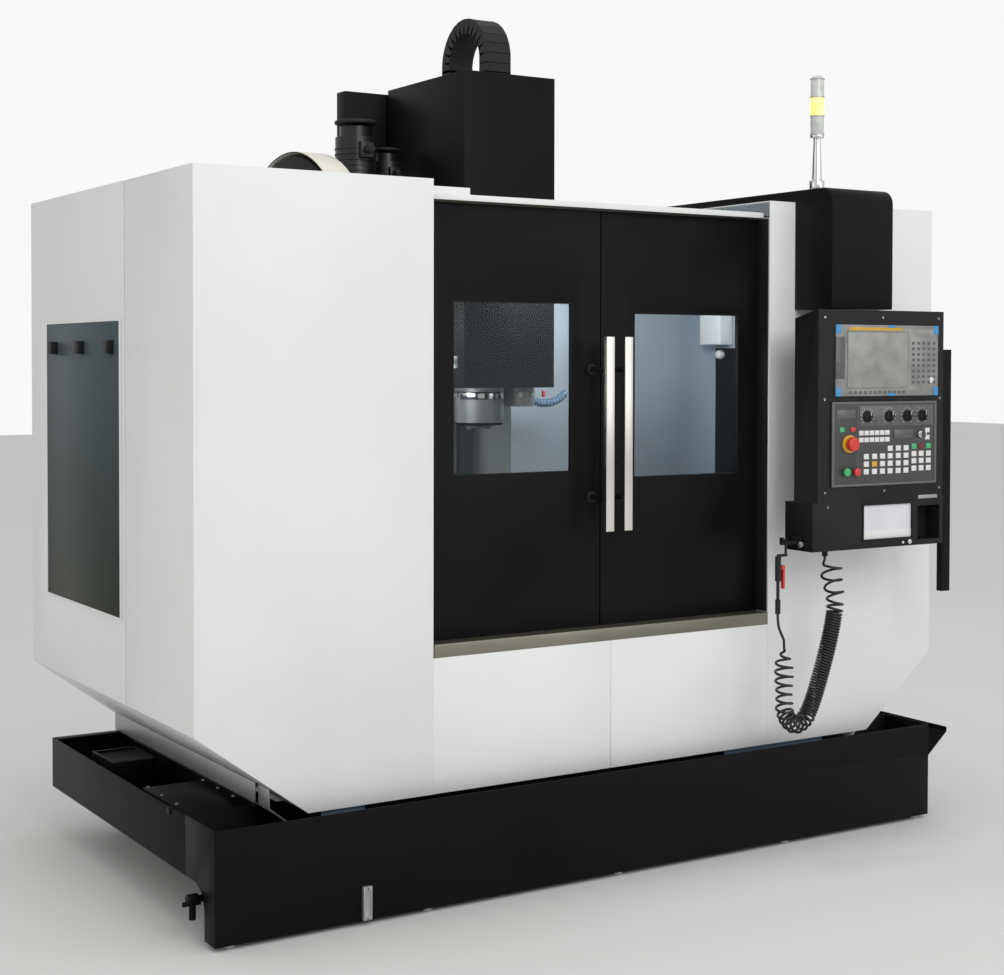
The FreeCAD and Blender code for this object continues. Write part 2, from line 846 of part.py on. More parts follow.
def make_spindle():
    """The turning spindle with its tool taper, two drive keys and the shaft to the motor."""
    shaft = fuse(
        cylinder("+z", 0, "spindle_y", "shaft_low", "shaft_rad", "head_low + head_wall - shaft_low + 100"),
        cylinder(
            "+z", 0, "spindle_y", "head_low + head_wall + 90", 30, "head_top - head_low - head_wall - 90.3"
        ),
    )
    taper = cone("+z", 0, "spindle_y", "shaft_low", "taper_big", "taper_small", "taper_deep")
    keyway = box(-50, "spindle_y - 8", "shaft_low - 1", 100, 16, 9)
    keys = [box(x, "spindle_y - 7.9", "shaft_low - 6", 14, 15.8, 14) for x in (-42, 28)]
    return node("spindle", fuse(cut(shaft, taper, keyway), *keys))


def make_spindle_motor():
    """The spindle motor on top of the head, inside the cover."""
    return node(
        "spindle_motor",
        fuse(
            box(-115, "spindle_y - 115", "head_top", 230, 230, 25),
            cylinder("+z", 0, "spindle_y", "head_top + 20", "motor_rad", 330),
            cylinder("+z", 0, "spindle_y", "head_top + 345", "motor_rad - 15", 60),
        ),
    )


def make_coolant_nozzle():
    """The coolant block under the cover and its jointed hose, which ends in a short nozzle."""
    block = box(96, "spindle_y - 78", "cover_low - 64", 72, 78, 64)
    joint_z = "cover_low - 44"
    arms = [
        cylinder("+x", 166, "spindle_y - 50", joint_z, 12, 50),
        cone("+x", 216, "spindle_y - 50", joint_z, 14, 12, 46),
        cone("+x", 262, "spindle_y - 50", joint_z, 12, 5, 46),
    ]
    return node("coolant_nozzle", fuse(block, *arms))


# ---------------------------------------------------------------- tool changer


def make_magazine_cover():
    """The magazine's ring and back plate, with the hub that the disc turns on and its carrier."""
    ring = cut(
        cylinder("+x", "drum_left", "drum_y", "drum_z", "drum_rad", "drum_deep"),
        cylinder("+x", "drum_left - 1", "drum_y", "drum_z", "drum_rad - 5", "drum_deep - 7"),
    )
    mouth = box("drum_left - 1", "drum_y - 60", "drum_z - drum_rad - 1", "drum_deep + 2", 120, 60)
    hub = cylinder("+x", "drum_left", "drum_y", "drum_z", "hub_rad", "drum_deep")
    carrier = box(
        "drum_left + drum_deep",
        "cam_front + 20",
        "drum_z - 90",
        "cam_left - drum_left - drum_deep",
        180,
        180,
    )
    return node("magazine_cover", fuse(cut(ring, mouth), hub, carrier))


def make_magazine():
    """The turning disc and its ring of tool pots."""
    disc = cut(
        cylinder("+x", "drum_left + 2", "drum_y", "drum_z", "disc_rad", "disc_thick"),
        cylinder("+x", "drum_left", "drum_y", "drum_z", "hub_rad + hub_run", "disc_thick + 4"),
    )
    pots = []
    for index in range(DRUM_POTS):
        turn = 360.0 / DRUM_POTS * (index + 0.5)
        pots.append(
            cylinder(
                "+x",
                "drum_left + 2 + disc_thick",
                f"drum_y + pot_ring * cos({turn} deg)",
                f"drum_z + pot_ring * sin({turn} deg)",
                "pot_rad",
                "pot_long",
            )
        )
    return node("magazine_disc", group(disc, *pots))


def make_cam_box():
    """The changer's cam box and the bracket that holds it on the column."""
    case = box("cam_left", "cam_front", "cam_low", "cam_wide", "cam_deep", "cam_top - cam_low")
    bracket = box(
        "cam_left", "cam_front + cam_deep", "cam_low + 40", 235, "column_front - cam_front - cam_deep", 300
    )
    return node("cam_box", fuse(case, bracket))


def make_drive_motors():
    """The Z motor on the column's bracket, the Y motor at the front of the bed, and the changer's two motors."""
    lift = fuse(
        box(-65, "column_front - 118", "column_top", 130, 116, 30),
        box(-58, "column_front - 116", "column_top + 30", 116, 112, 160),
    )
    feed = fuse(
        box(-65, "bed_front - 20", "bed_top - 190", 130, 20, 130),
        box(-55, "bed_front - 19", "bed_top - 180", 110, 18, 110),
    )
    arm_motor = fuse(
        box("cam_left + 12", "cam_front + 118", "cam_top", 136, 136, 14),
        cylinder("+z", "cam_left + 80", "cam_front + 186", "cam_top + 14", 66, 246),
        cylinder("+z", "cam_left + 80", "cam_front + 186", "cam_top + 260", 52, 34),
    )
    disc_motor = fuse(
        box("cam_left + 152", "cam_front + 158", "cam_top", 104, 104, 12),
        cylinder("+z", "cam_left + 204", "cam_front + 210", "cam_top + 12", 50, 180),
        cylinder("+z", "cam_left + 204", "cam_front + 210", "cam_top + 192", 38, 26),
    )
    return node("drive_motors", group(lift, feed, arm_motor, disc_motor))


def make_change_arm():
    """The double gripper arm, parked along Y under the cam box."""
    x, y, z = "cam_left + 140", "spindle_y", "cam_low - 80"
    bar = box(f"{x} - 32", f"{y} - arm_reach", z, 64, "2 * arm_reach", 36)
    shaft = cylinder("+z", x, y, f"{z} + 30", 36, 50)
    ends = [cylinder("+z", x, f"{y} + {side} * arm_reach", z, 46, 36) for side in (-1, 1)]
    jaws = [cylinder("+z", x, f"{y} + {side} * (arm_reach + 22)", f"{z} - 1", 32, 38) for side in (-1, 1)]
    return node("change_arm", cut(fuse(bar, shaft, *ends), *jaws))


# ---------------------------------------------------------------- enclosure


def make_front_module(label, side, slope):
    """A front module: front sheet, outer wall, slope and roof edge, open behind and towards the doors."""
    edge, inner = ("-", "-opening_half") if side < 0 else ("", "opening_half")
    sign = -side

    def x_at(offset):
        return f"{edge}enc_half + {sign} * ({offset})" if side > 0 else f"-enc_half + ({offset})"

    outer = profile(
        "xz",
        [
            (x_at("0"), "enc_top"),
            (x_at("0"), "chamfer_z"),
            (x_at(slope), "skirt_z"),
            (inner, "skirt_z"),
            (inner, "enc_top"),
        ],
        "module_depth",
    )
    hollow = profile(
        "xz",
        [
            (x_at("skin"), "enc_top - skin"),
            (x_at("skin"), "chamfer_z + skin / 2"),
            (x_at(f"{slope} + skin / 2"), "skirt_z + skin"),
            (f"{inner} + {sign}", "skirt_z + skin"),
            (f"{inner} + {sign}", "enc_top - skin"),
        ],
        "module_depth",
        "skin",
    )
    foot = profile(
        "xz",
        [
            (x_at(f"{slope} * 0.52"), "skirt_z - 1"),
            (f"{inner} + {sign}", "skirt_z - 1"),
            (f"{inner} + {sign}", "skirt_z + skin + 2"),
            (x_at(f"{slope} * 0.52"), "skirt_z + skin + 2"),
        ],
        "module_depth",
        "skin + 40",
    )
    corner_x = inner if side > 0 else f"{inner} - skin"
    flange = box(corner_x, "skin", "sill_low", "skin", "door_y - skin - 3", "header_low - sill_low")
    roof = box(
        "opening_half" if side > 0 else "-enc_half", "module_depth / 2", "enc_top - skin - 1", "enc_half - opening_half", "module_depth", 20
    )
    return node(label, fuse(cut(outer, hollow, foot, roof), flange))


def make_front_panels():
    """The two lower sheets between the modules, and the header with its roof edge."""
    parts = []
    for x in ("-opening_half", "0.25"):
        wide = "opening_half - 0.25"
        face = box(x, 0, "skirt_z", wide, "skin", "sill_low - skirt_z")
        fold = box(x, "skin", "skirt_z", wide, 25, "skin")
        parts.append(fuse(face, fold))
    header = fuse(
        box("-opening_half", "header_y", "header_low", "2 * opening_half", "skin", "mid_top - header_low"),
        box("-opening_half", "header_y + skin", "mid_top - skin", "2 * opening_half", 120, "skin"),
        box("-opening_half", "header_y + 60", "mid_top", 170, 60, 26),
    )
    return node("front_panels", group(*parts, header))


def make_side_panels():
    """The rear halves of the side walls, each with its maintenance opening and slope."""
    deep = "enc_depth - module_depth - 3"
    parts = []
    for side, slope in ((-1, "chamfer_left"), (1, "chamfer_right")):
        wall_x = "-enc_half" if side < 0 else "enc_half - skin"
        wall = box(wall_x, "module_depth + 3", "chamfer_z", "skin", deep, "enc_top - chamfer_z")
        opening = box(
            f"{wall_x} - 1",
            "side_window_y + 25",
            "side_window_low + 25",
            "skin + 2",
            "side_window_deep - 50",
            "side_window_high - 50",
        )
        edge = f"{side} * enc_half"
        run = f"{-side} * {slope}"
        slant = profile(
            "xz",
            [
                (edge, "chamfer_z"),
                (f"{edge} + {run}", "skirt_z"),
                (f"{edge} + {run} - {side} * 2 * skin", "skirt_z"),
                (f"{edge} - {side} * skin", "chamfer_z"),
            ],
            deep,
            "module_depth + 3",
        )
        parts.append(fuse(cut(wall, opening), slant))
    return node("side_panels", group(*parts))


def make_window_covers():
    """The bolted maintenance covers at both sides, each held by three square clamps."""
    parts = []
    for side in (-1, 1):
        cover_x = "-enc_half - side_window_thick" if side < 0 else "enc_half"
        clamp_x = "-enc_half - side_window_thick - clamp_deep" if side < 0 else "enc_half + side_window_thick"
        parts.append(
            box(
                cover_x,
                "side_window_y",
                "side_window_low",
                "side_window_thick",
                "side_window_deep",
                "side_window_high",
            ),
        )
        for share in (0.07, 0.46, 0.84):
            parts.append(
                box(
                    clamp_x,
                    f"side_window_y + {share} * side_window_deep",
                    "side_window_low + side_window_high - 92",
                    "clamp_deep",
                    "clamp_size",
                    "clamp_size",
                )
            )
    return node("window_covers", group(*parts))


def make_roof():
    """The roof sheets, laid in strips round the openings for the magazine, the head, the cam box and the column."""
    start = "module_depth / 2"
    end = "enc_depth - skin"
    height = "enc_top - skin"
    drum_front, drum_back = "drum_y - 330", "drum_y + 330"
    drum_edge = "drum_left - 12"
    parts = [
        box(
            "-enc_half + skin", start, height, f"{drum_edge} + enc_half - skin", f"{end} - {start}", "skin"
        ),
        box(drum_edge, start, height, f"-opening_half - ({drum_edge})", f"{drum_front} - {start}", "skin"),
        box(
            drum_edge, drum_back, height, f"-opening_half - ({drum_edge})", f"{end} - ({drum_back})", "skin"
        ),
        box("opening_half", start, height, "enc_half - opening_half - skin", f"{end} - {start}", "skin"),
    ]
    low = "mid_top - skin"
    left, right = "-opening_half + 0.5", "opening_half - 0.5"
    front = "header_y + skin + 120"
    head_front, head_left, head_right = "cover_front - 15", "cam_left - 20", "cover_half + 15"
    plate = "column_front - rail_high - block_roof - 52"
    beside = "drum_left + drum_deep + 25"
    parts += [
        box(left, front, low, f"{right} - ({left})", f"{drum_front} - ({front})", "skin"),
        box(beside, drum_front, low, f"{right} - ({beside})", f"{head_front} - ({drum_front})", "skin"),
        box(beside, head_front, low, f"{head_left} - ({beside})", f"{drum_back} - ({head_front})", "skin"),
        box(left, drum_back, low, f"{head_left} - ({left})", f"{end} - ({drum_back})", "skin"),
        box(head_right, head_front, low, f"{right} - ({head_right})", f"{plate} - ({head_front})", "skin"),
        box("column_half + 10", plate, low, f"{right} - column_half - 10", f"{end} - ({plate})", "skin"),
    ]
    return node("roof_panels", group(*parts))


def make_rear_panels():
    """The rear sheets at both sides of the column."""
    parts = []
    for side, slope in ((-1, "chamfer_left"), (1, "chamfer_right")):
        parts.append(
            profile(
                "xz",
                [
                    (f"{side} * enc_half", "enc_top"),
                    (f"{side} * enc_half", "chamfer_z"),
                    (f"{side} * (enc_half - {slope})", "skirt_z"),
                    (f"{side} * (bed_half + 0.3)", "skirt_z"),
                    (f"{side} * (bed_half + 0.3)", "bed_top + 0.3"),
                    (f"{side} * (column_half + 10)", "bed_top + 0.3"),
                    (f"{side} * (column_half + 10)", "enc_top"),
                ],
                "skin",
                "enc_depth",
            )
        )
    return node("rear_panels", group(*parts))


def make_skirts():
    """The grey drip sheets that hang from the slopes into the tank and troughs, and two strips in front."""
    parts = []
    for side, slope in ((-1, "chamfer_left"), (1, "chamfer_right")):
        top = f"chamfer_z - 236 * (chamfer_z - skirt_z) / {slope} - 0.4"
        points = [
            (f"{side} * (enc_half - 233)", top),
            (f"{side} * (enc_half - 233)", "skirt_z + 7"),
            (f"{side} * (trough_in + 10)", "skirt_z - 36"),
            (f"{side} * (trough_in + 10)", "skirt_z - 32"),
            (f"{side} * (enc_half - 236)", "skirt_z + 10"),
            (f"{side} * (enc_half - 236)", top),
        ]
        parts.append(profile("xz", points, "base_depth - 132", "base_front + 120"))
        back = "base_front + base_depth + 10"
        parts.append(profile("xz", points, f"trough_back - 10 - ({back})", back))
    for x, wide in ((-930, 130), (450, 400)):
        parts.append(box(x, "skin + 22", "skirt_z - 20", wide, 3, 20))
    return node("skirt_sheets", group(*parts))


def make_liner():
    """The work space's inner walls: sides, left wall under the magazine, back walls and chip slopes."""
    back_right = 885
    back_left = 1096
    wall = "skin"
    floor = "bed_top + 20"
    parts = [
        box(940, 110, floor, wall, back_right - 110, f"mid_top - 12 - ({floor})"),
        box("cover_half + 40", back_right, 1000, "940 + skin - cover_half - 40", wall, "mid_top - 1012"),
        box(-960, 110, floor, wall, 986, f"1290 - ({floor})"),
        box(-960, 110, 1290, 373, 986, wall),
        box(-590, 110, "1290 + skin", wall, 500, "mid_top - 1302 - skin"),
        box(-960, back_left, 1000, 640, wall, 290),
        box(-960, back_left, 1290, 484, wall, 260),
        box(
            "-opening_half + 3",
            "door_y + door_thick",
            floor,
            "2 * opening_half - 6",
            wall,
            f"sill_top - skin - ({floor})",
        ),
    ]
    slopes = [
        profile(
            "xz",
            [
                (edge, "bed_top + 60"),
                (f"{side} * bed_half", "bed_top - 90"),
                (f"{side} * bed_half", "bed_top - 84"),
                (edge, "bed_top + 66"),
            ],
            "985",
            "110",
        )
        for side, edge in ((-1, "-960 + skin"), (1, "940"))
    ]
    return node("inner_liner", group(*parts, *slopes))


def make_door_tracks():
    """The stainless sill under the doors and the track that they hang from."""
    sill = fuse(
        box("-opening_half + 3", 0, "sill_low", "2 * opening_half - 6", "skin", "sill_top - sill_low"),
        box(
            "-opening_half + 3",
            "skin",
            "sill_top - skin",
            "2 * opening_half - 6",
            "door_y + door_thick + 4",
            "skin",
        ),
    )
    track = box(
        -1200, "door_y + door_thick + 0.3", "door_high - 20", 2400, 14, "mid_top - skin - door_high + 20"
    )
    return node("door_tracks", group(sill, track))


def make_door(side):
    """A sliding door with its window opening and the pane's recess."""
    name = "left" if side < 0 else "right"
    start = "-opening_half - door_lap" if side < 0 else "door_gap / 2"
    wide = "opening_half + door_lap - door_gap / 2"
    frame = box(start, "door_y", "door_low", wide, "door_thick", "door_high - door_low")
    low, x = f"pane_{name}_low", f"pane_{name}_x"
    opening = box(x, "door_y - 1", low, "pane_wide", "door_thick + 2", "pane_high")
    rebate = box(
        f"{x} - 12", "door_y + pane_inset", f"{low} - 12", "pane_wide + 24", "door_thick", "pane_high + 24"
    )
    node(f"{name}_door", cut(frame, fuse(opening, rebate)))
    node(
        f"{name}_pane",
        box(
            f"{x} - 11.5",
            "door_y + pane_inset",
            f"{low} - 11.5",
            "pane_wide + 23",
            "pane_thick",
            "pane_high + 23",
        ),
    )
    middle = f"{side} * pull_x"
    bar_y = "door_y - pull_reach"
    bar = box(f"{middle} - pull_wide / 2", bar_y, "pull_low", "pull_wide", "pull_deep", "pull_long")
    posts = [
        cylinder("+y", middle, f"{bar_y} + pull_deep - 1", z, "post_rad", "pull_reach - pull_deep + 1")
        for z in ("pull_low + post_inset", "pull_low + pull_long - post_inset")
    ]
    node(f"{name}_pull", fuse(bar, *posts))


# ---------------------------------------------------------------- console, arm, tower


def make_console_arm():
    """The console's arm: a duct on the roof that comes down in front, with the swivel pin under it."""
    arm = doc.addObject("PartDesign::Body", "arm")
    pad = arm.newObject("PartDesign::Pad", "side")
    pad.Profile = outline(
        arm,
        "elbow",
        "yz",
        [
            ("duct_front", "duct_low"),
            ("duct_front + duct_deep", "duct_low"),
            ("duct_front + duct_deep", "duct_top - duct_roof"),
            ("duct_front + duct_long", "duct_top - duct_roof"),
            ("duct_front + duct_long", "duct_top"),
            ("duct_front", "duct_top"),
        ],
    )
    bind(pad, "Length", "duct_wide")
    bind(arm, "Placement.Base.x", "duct_left")
    doc.recompute()
    edge = next(
        index
        for index, line in enumerate(pad.Shape.Edges, 1)
        if abs(
            line.CenterOfMass.y - size("duct_front")
        ) < 0.1 and abs(line.CenterOfMass.z - size("duct_top")) < 0.1
    )
    fillet = arm.newObject("PartDesign::Fillet", "corner")
    fillet.Base = (pad, [f"Edge{edge}"])
    bind(fillet, "Radius", "duct_round")
    arm.Tip = fillet
    pin = cylinder("+z", "swivel_x", "swivel_y", "box_top - 130", "swivel_rad", "duct_low - box_top + 130")
    collar = cylinder("+z", "swivel_x", "swivel_y", "box_top - 140", "swivel_rad + 9", 11.7)
    return node("console_arm", fuse(arm, pin, collar))


def make_signal_tower():
    """The signal tower: foot, neck, three lenses and a cap, stacked on the arm."""
    x, y = "tower_x", "tower_y"
    foot = cylinder("+z", x, y, "duct_top", 24, 30)
    neck = cone("+z", x, y, "duct_top + 30", 16, 11, "tower_tiers - duct_top - 40")
    seat = cylinder("+z", x, y, "tower_tiers - 10", "tier_rad", 10)
    lenses = [
        cylinder("+z", x, y, f"tower_tiers + {step} * tier_high", "tier_rad - 1", "tier_high")
        for step in range(3)
    ]
    cap = cone("+z", x, y, "tower_tiers + 3 * tier_high", "tier_rad", 12, 10)
    return node("signal_tower", group(fuse(foot, neck, seat), *lenses, cap))


STEMS = [(x, "knob_z") for x in KNOB_X] + [(696, 1253), (676, 1169), (717, 1168), (989, 1277)]


def make_console_box():
    """The console's case: upper box with a sloping top, wider lower box with a card slot, swivel ear."""
    back = "box_front + box_deep"
    upper = profile(
        "yz",
        [
            ("box_front", "tray_top"),
            (back, "tray_top"),
            (back, "box_top - box_fall"),
            ("box_front + 8", "box_top"),
            ("box_front", "box_top"),
        ],
        "box_wide",
        "box_left",
    )
    lower = box(
        "box_left - tray_out",
        "box_front",
        "box_low",
        "box_wide + tray_out + 3",
        "tray_deep",
        "tray_top - box_low",
    )
    card = box(762, "box_front - 1", 958, 204, 31, 106)
    side_recess = box(988, "box_front - 1", 948, 96, 61, 106)
    ear = cut(
        fuse(
            box("swivel_x - 46", f"{back} - 1", "box_top - 128", 92, f"swivel_y - ({back}) + 1", 90),
            cylinder("+z", "swivel_x", "swivel_y", "box_top - 128", 46, 90),
        ),
        cylinder("+z", "swivel_x", "swivel_y", "box_top - 140", "swivel_rad + swivel_run", 140),
    )
    seats = [cylinder("+y", x, "box_front - 1", z, "stem_rad + stem_run", 41) for x, z in STEMS]
    hook = fuse(
        box("box_left - tray_out - 62", "box_front + 62", "box_low + 20", 64, 14, 10),
        box("box_left - tray_out - 4", "box_front + 50", "box_low + 8", 4, 38, 34),
        box("box_left - tray_out - 62", "box_front + 62", "box_low + 30", 6, 14, 12),
    )
    gland = cylinder("+z", 661, "hose_y", "box_low - 22", 9, 23)
    return node("console_box", fuse(cut(fuse(upper, lower, ear), card, side_recess, *seats), hook, gland))


def make_screen_unit():
    """The screen unit, proud of the console's face, with a shallow screen recess."""
    face = box(
        "screen_left", "box_front - panel_proud", "screen_low", "screen_wide", "panel_proud", "screen_high"
    )
    glass = box(
        "screen_left + 44",
        "box_front - panel_proud - 1",
        "screen_low + 24",
        "screen_wide - 170",
        2.5,
        "screen_high - 44",
    )
    return node("screen_unit", cut(face, glass))


def make_key_panel():
    """The key panel with its membrane keys, pilot lamps and display, and holes for the stems."""
    plate = box("keys_left", "box_front - panel_proud", "keys_low", "keys_wide", "panel_proud", "keys_high")
    holes = [
        cylinder("+y", x, "box_front - panel_proud - 1", z, "stem_rad + stem_run", "panel_proud + 2")
        for x, z in STEMS
    ]
    face = "box_front - panel_proud - 2"
    keys = [
        box(x - 9, face, z - 7, 18, 2, 14)
        for x in (745 + 21.5 * i for i in range(6))
        for z in (1264, 1285)
    ]
    keys += [box(x - 10, face, z - 8, 20, 2, 16) for x in (766, 800, 833) for z in (1167, 1190, 1213)]
    keys += [box(x - 10, face, z - 8, 20, 2, 16) for x in (865, 899, 932) for z in (1167, 1190, 1213, 1236)]
    keys += [
        box(x - 10, face, z - 8, 20, 2, 16)
        for x in (966, 997, 1028)
        for z in (1172, 1195, 1217, 1240)
    ]
    keys += [box(1023 - 9, face, z - 7, 18, 2, 14) for z in (1267, 1289)]
    keys += [box(x - 9, face, 1296 - 7, 18, 2, 14) for x in (667, 712)]
    keys.append(box(881, face, 1267, 78, 2, 25))
    collar = cut(
        cylinder("-y", 696, "box_front - panel_proud", 1253, "stop_rad + 6", 4),
        cylinder("-y", 696, "box_front - panel_proud + 1", 1253, "stem_rad + stem_run", 6),
    )
    return node("key_panel", group(cut(plate, *holes), collar, *keys))


def make_console_handle():
    """The tall bar handle at the console's right side, on two stand-offs."""
    x = "box_left + box_wide"
    bar = box(f"{x} + 8", "box_front + 8", 778, 36, 22, 762)
    posts = [
        box(x, "box_front + 10", 1480, 9, 18, 30),
        box(f"{x} + 3", "box_front + 10", 1010, 6, 18, 30),
    ]
    return node("console_handle", fuse(bar, *posts))


def make_knob(index, x):
    """A rotary knob: skirt, grip and stem."""
    face = "box_front - panel_proud - 1"
    return node(
        f"knob_{index}",
        fuse(
            cone("-y", x, face, "knob_z", "knob_rad + 3", "knob_rad", 5),
            cylinder("-y", x, f"{face} - 5", "knob_z", "knob_rad", 4),
            box(
                f"{x} - 4",
                f"{face} - knob_long",
                "knob_z - knob_rad + 1",
                8,
                "knob_long - 8",
                "2 * knob_rad - 2",
            ),
            cylinder("+y", x, f"{face} - 1", "knob_z", "stem_rad", 31),
        ),
    )


def make_button(label, x, z, radius, proud):
    """A push button on its stem, standing clear of the panel by its travel."""
    face = "box_front - panel_proud"
    return node(
        label,
        fuse(
            cylinder("-y", x, f"{face} - 11", z, radius, proud),
            cylinder("+y", x, f"{face} - 12", z, "stem_rad", 40),
        ),
    )


def make_key_switch():
    """The key switch with its key."""
    face = "box_front - panel_proud - 1"
    return node(
        "key_switch",
        fuse(
            cylinder("-y", 989, face, 1277, 10, 7),
            box("989 - 1.5", f"{face} - 29", "1277 - 7", 3, 23, 14),
            cylinder("+y", 989, f"{face} - 1", 1277, "stem_rad", 31),
        ),
    )


# ---------------------------------------------------------------- electrical cabinet, energy chain


def make_cabinet():
    """The electrical cabinet behind the column, open towards its rear door, on two rails to the column."""
    case = cut(
        box("cabinet_left", "cabinet_front", "cabinet_low", "cabinet_wide", "cabinet_deep", "cabinet_high"),
        box(
            "cabinet_left + 20",
            "cabinet_front + 20",
            "cabinet_low + 20",
            "cabinet_wide - 40",
            "cabinet_deep",
            "cabinet_high - 40",
        ),
    )
    lug = [
        box(
            x,
            "column_front + column_foot",
            "cabinet_low + 180",
            60,
            "cabinet_front - column_front - column_foot",
            80,
        )
        for x in (-240, 180)
    ]
    tray = box(
        "cabinet_left + 60",
        "cabinet_front + 20",
        "cabinet_low + 60",
        "cabinet_wide - 120",
        6,
        "cabinet_high - 120",
    )
    knuckles = [
        cylinder(
            "+z", "cabinet_left - 8", "cabinet_front + cabinet_deep + 8", f"cabinet_low + {z}", 7, 40
        ) for z in (100, 1310)
    ]
    leaves = [
        box(
            "cabinet_left - 8", "cabinet_front + cabinet_deep - 20", f"cabinet_low + {z}", 8, 24, 40
        ) for z in (100, 1310)
    ]
    return node("electrical_cabinet", fuse(case, tray, *lug, *knuckles, *leaves))


def make_cabinet_door():
    """The cabinet's door, hinged at its left edge, with a lever handle."""
    y = "cabinet_front + cabinet_deep + 0.3"
    leaf = box("cabinet_left + 4", y, "cabinet_low", "cabinet_wide - 4", 14, "cabinet_high")
    lever = box("cabinet_left + cabinet_wide - 70", f"{y} + 14", "cabinet_low + 640", 24, 10.7, 150)
    barrels = [
        cylinder("+z", "cabinet_left - 8", f"{y} + 7.7", f"cabinet_low + {z}", 7, 60)
        for z in (142, 1247)
    ]
    straps = [box("cabinet_left - 8", f"{y} + 2", f"cabinet_low + {z}", 20, 8, 60) for z in (142, 1247)]
    return node("cabinet_door", fuse(leaf, lever, *barrels, *straps))


def make_cable_chain():
    """The energy chain from the head cover up and over to the column cap."""
    bend = cut(
        cylinder("+x", "chain_x", "chain_y", "chain_z", "chain_rad", "chain_wide"),
        cylinder("+x", "chain_x - 1", "chain_y", "chain_z", "chain_rad - chain_thick", "chain_wide + 2"),
        box(
            "chain_x - 1",
            "chain_y - chain_rad - 1",
            "chain_z - chain_rad - 1",
            "chain_wide + 2",
            "2 * chain_rad + 2",
            "chain_rad + 1",
        ),
    )
    front = box(
        "chain_x", "chain_y - chain_rad", "cover_top", "chain_wide", "chain_thick", "chain_z - cover_top"
    )
    back = box(
        "chain_x",
        "chain_y + chain_rad - chain_thick",
        "cap_top",
        "chain_wide",
        "chain_thick",
        "chain_z - cap_top",
    )
    return node("cable_chain", fuse(bend, front, back))


# ---------------------------------------------------------------- air hose and blow gun

HOSE_TOP = [(661, 0, 910), (661, 0, 884)]
HOSE_COIL = [
    (686, 0, 884),
    (686, 0, 852),
    (716, 0, 752),
    (613, 0, 450),
    (556, 0, 396),
    (506, 0, 430),
    (500, 0, 500),
    (500, 0, 640),
]
HOSE_GUN = [(500, 0, 640), (500, 0, 664), (488, 2, 690), (475, 0, 716), (475, 0, 748)]


def routed(points, radius):
    """A round bar along straight runs joined by tangent arcs, and the arcs' radii."""
    corners = [FreeCAD.Vector(x, size("hose_y") + y, z) for x, y, z in points]
    edges, radii, start = [], [], corners[0]
    for before, corner, after in zip(corners, corners[1:], corners[2:]):
        way_in, way_out = (before - corner), (after - corner)
        run = 0.45 * min(way_in.Length, way_out.Length)
        half_turn = (math.pi - way_in.getAngle(way_out)) / 2
        way_in.normalize()
        way_out.normalize()
        bend = run / math.tan(half_turn)
        toward = way_in + way_out
        toward.normalize()
        middle = corner + toward * (bend / math.cos(half_turn) - bend)
        edges.append(Part.LineSegment(start, corner + way_in * run).toShape())
        edges.append(Part.Arc(corner + way_in * run, middle, corner + way_out * run).toShape())
        start = corner + way_out * run
        radii.append(round(bend, 1))
    edges.append(Part.LineSegment(start, corners[-1]).toShape())
    spine = Part.Wire(edges)
    across = Part.Wire([Part.makeCircle(radius, corners[0], corners[1] - corners[0])])
    bar = spine.makePipeShell([across], True, False)
    wanted = math.pi * radius**2 * spine.Length
    print("cord run", round(spine.Length, 1), "radii", radii, "volume share", round(bar.Volume / wanted, 4))
    return bar


def make_hose():
    """The air hose: tail from the console's gland, its spring as one fat tube, and tail to the blow gun."""
    solid_node("hose_tail_top", routed(HOSE_TOP, size("hose_rad")))
    solid_node("hose_coil", routed(HOSE_COIL, size("coil_rad")))
    solid_node("hose_tail_gun", routed(HOSE_GUN, size("hose_rad")))


def make_blow_gun():
    """The blow gun, hung on the hook by its ring, with its hose fitting below."""
    x = "box_left - tray_out - 81"
    y = "hose_y"
    return node(
        "blow_gun",
        fuse(
            cylinder("+z", x, y, 748, 8, 42),
            cylinder("+z", x, y, 788, 5, 60),
            cylinder("+z", x, y, 846, 9, 74),
            box(f"{x} - 3", f"{y} - 3", 918, 38, 6, 8),
            box(f"{x} + 26", f"{y} - 3", 918, 6, 4.5, 52),
            box(f"{x} + 26", f"{y} - 3", "box_low + 30.3", 6, 14, 7),
        ),
    )


def make_gun_trigger():
    """The blow gun's lever."""
    x = "box_left - tray_out - 81"
    return node(
        "gun_trigger",
        fuse(
            box(f"{x} + 16", "hose_y - 5", 822, 7, 10, 70),
            box(f"{x} + 9.9", "hose_y - 5", 880, 12, 10, 10),
        ),
    )


def make_all():
    """Builds every sub-part."""
    make_bed()
    make_feet()
    make_front_tank()
    make_troughs()
    make_tank_fittings()
    make_drain_lever()
    make_column()
    make_column_cap()
    make_rails()
    make_saddle()
    make_table()
    make_head_casting()
    make_head_cover()
    make_spindle_housing()
    make_spindle()
    make_spindle_motor()
    make_coolant_nozzle()
    make_magazine_cover()
    make_magazine()
    make_cam_box()
    make_drive_motors()
    make_change_arm()
    make_front_module("left_front_module", -1, "chamfer_left")
    make_front_module("right_front_module", 1, "chamfer_right")
    make_front_panels()
    make_side_panels()
    make_window_covers()
    make_roof()
    make_rear_panels()
    make_skirts()
    make_liner()
    make_door_tracks()
    make_door(-1)
    make_door(1)
    make_console_arm()
    make_signal_tower()
    make_console_box()
    make_screen_unit()
    make_key_panel()
    make_console_handle()
    for index, x in enumerate(KNOB_X, 1):
        make_knob(index, x)
    make_button("emergency_stop", 696, 1253, "stop_rad", 16)
    make_button("start_button", 676, 1169, "button_rad", 7)
    make_button("stop_button", 717, 1168, "button_rad", 7)
    make_key_switch()
    make_cabinet()
    make_cabinet_door()
    make_cable_chain()
    make_hose()
    make_blow_gun()
    make_gun_trigger()


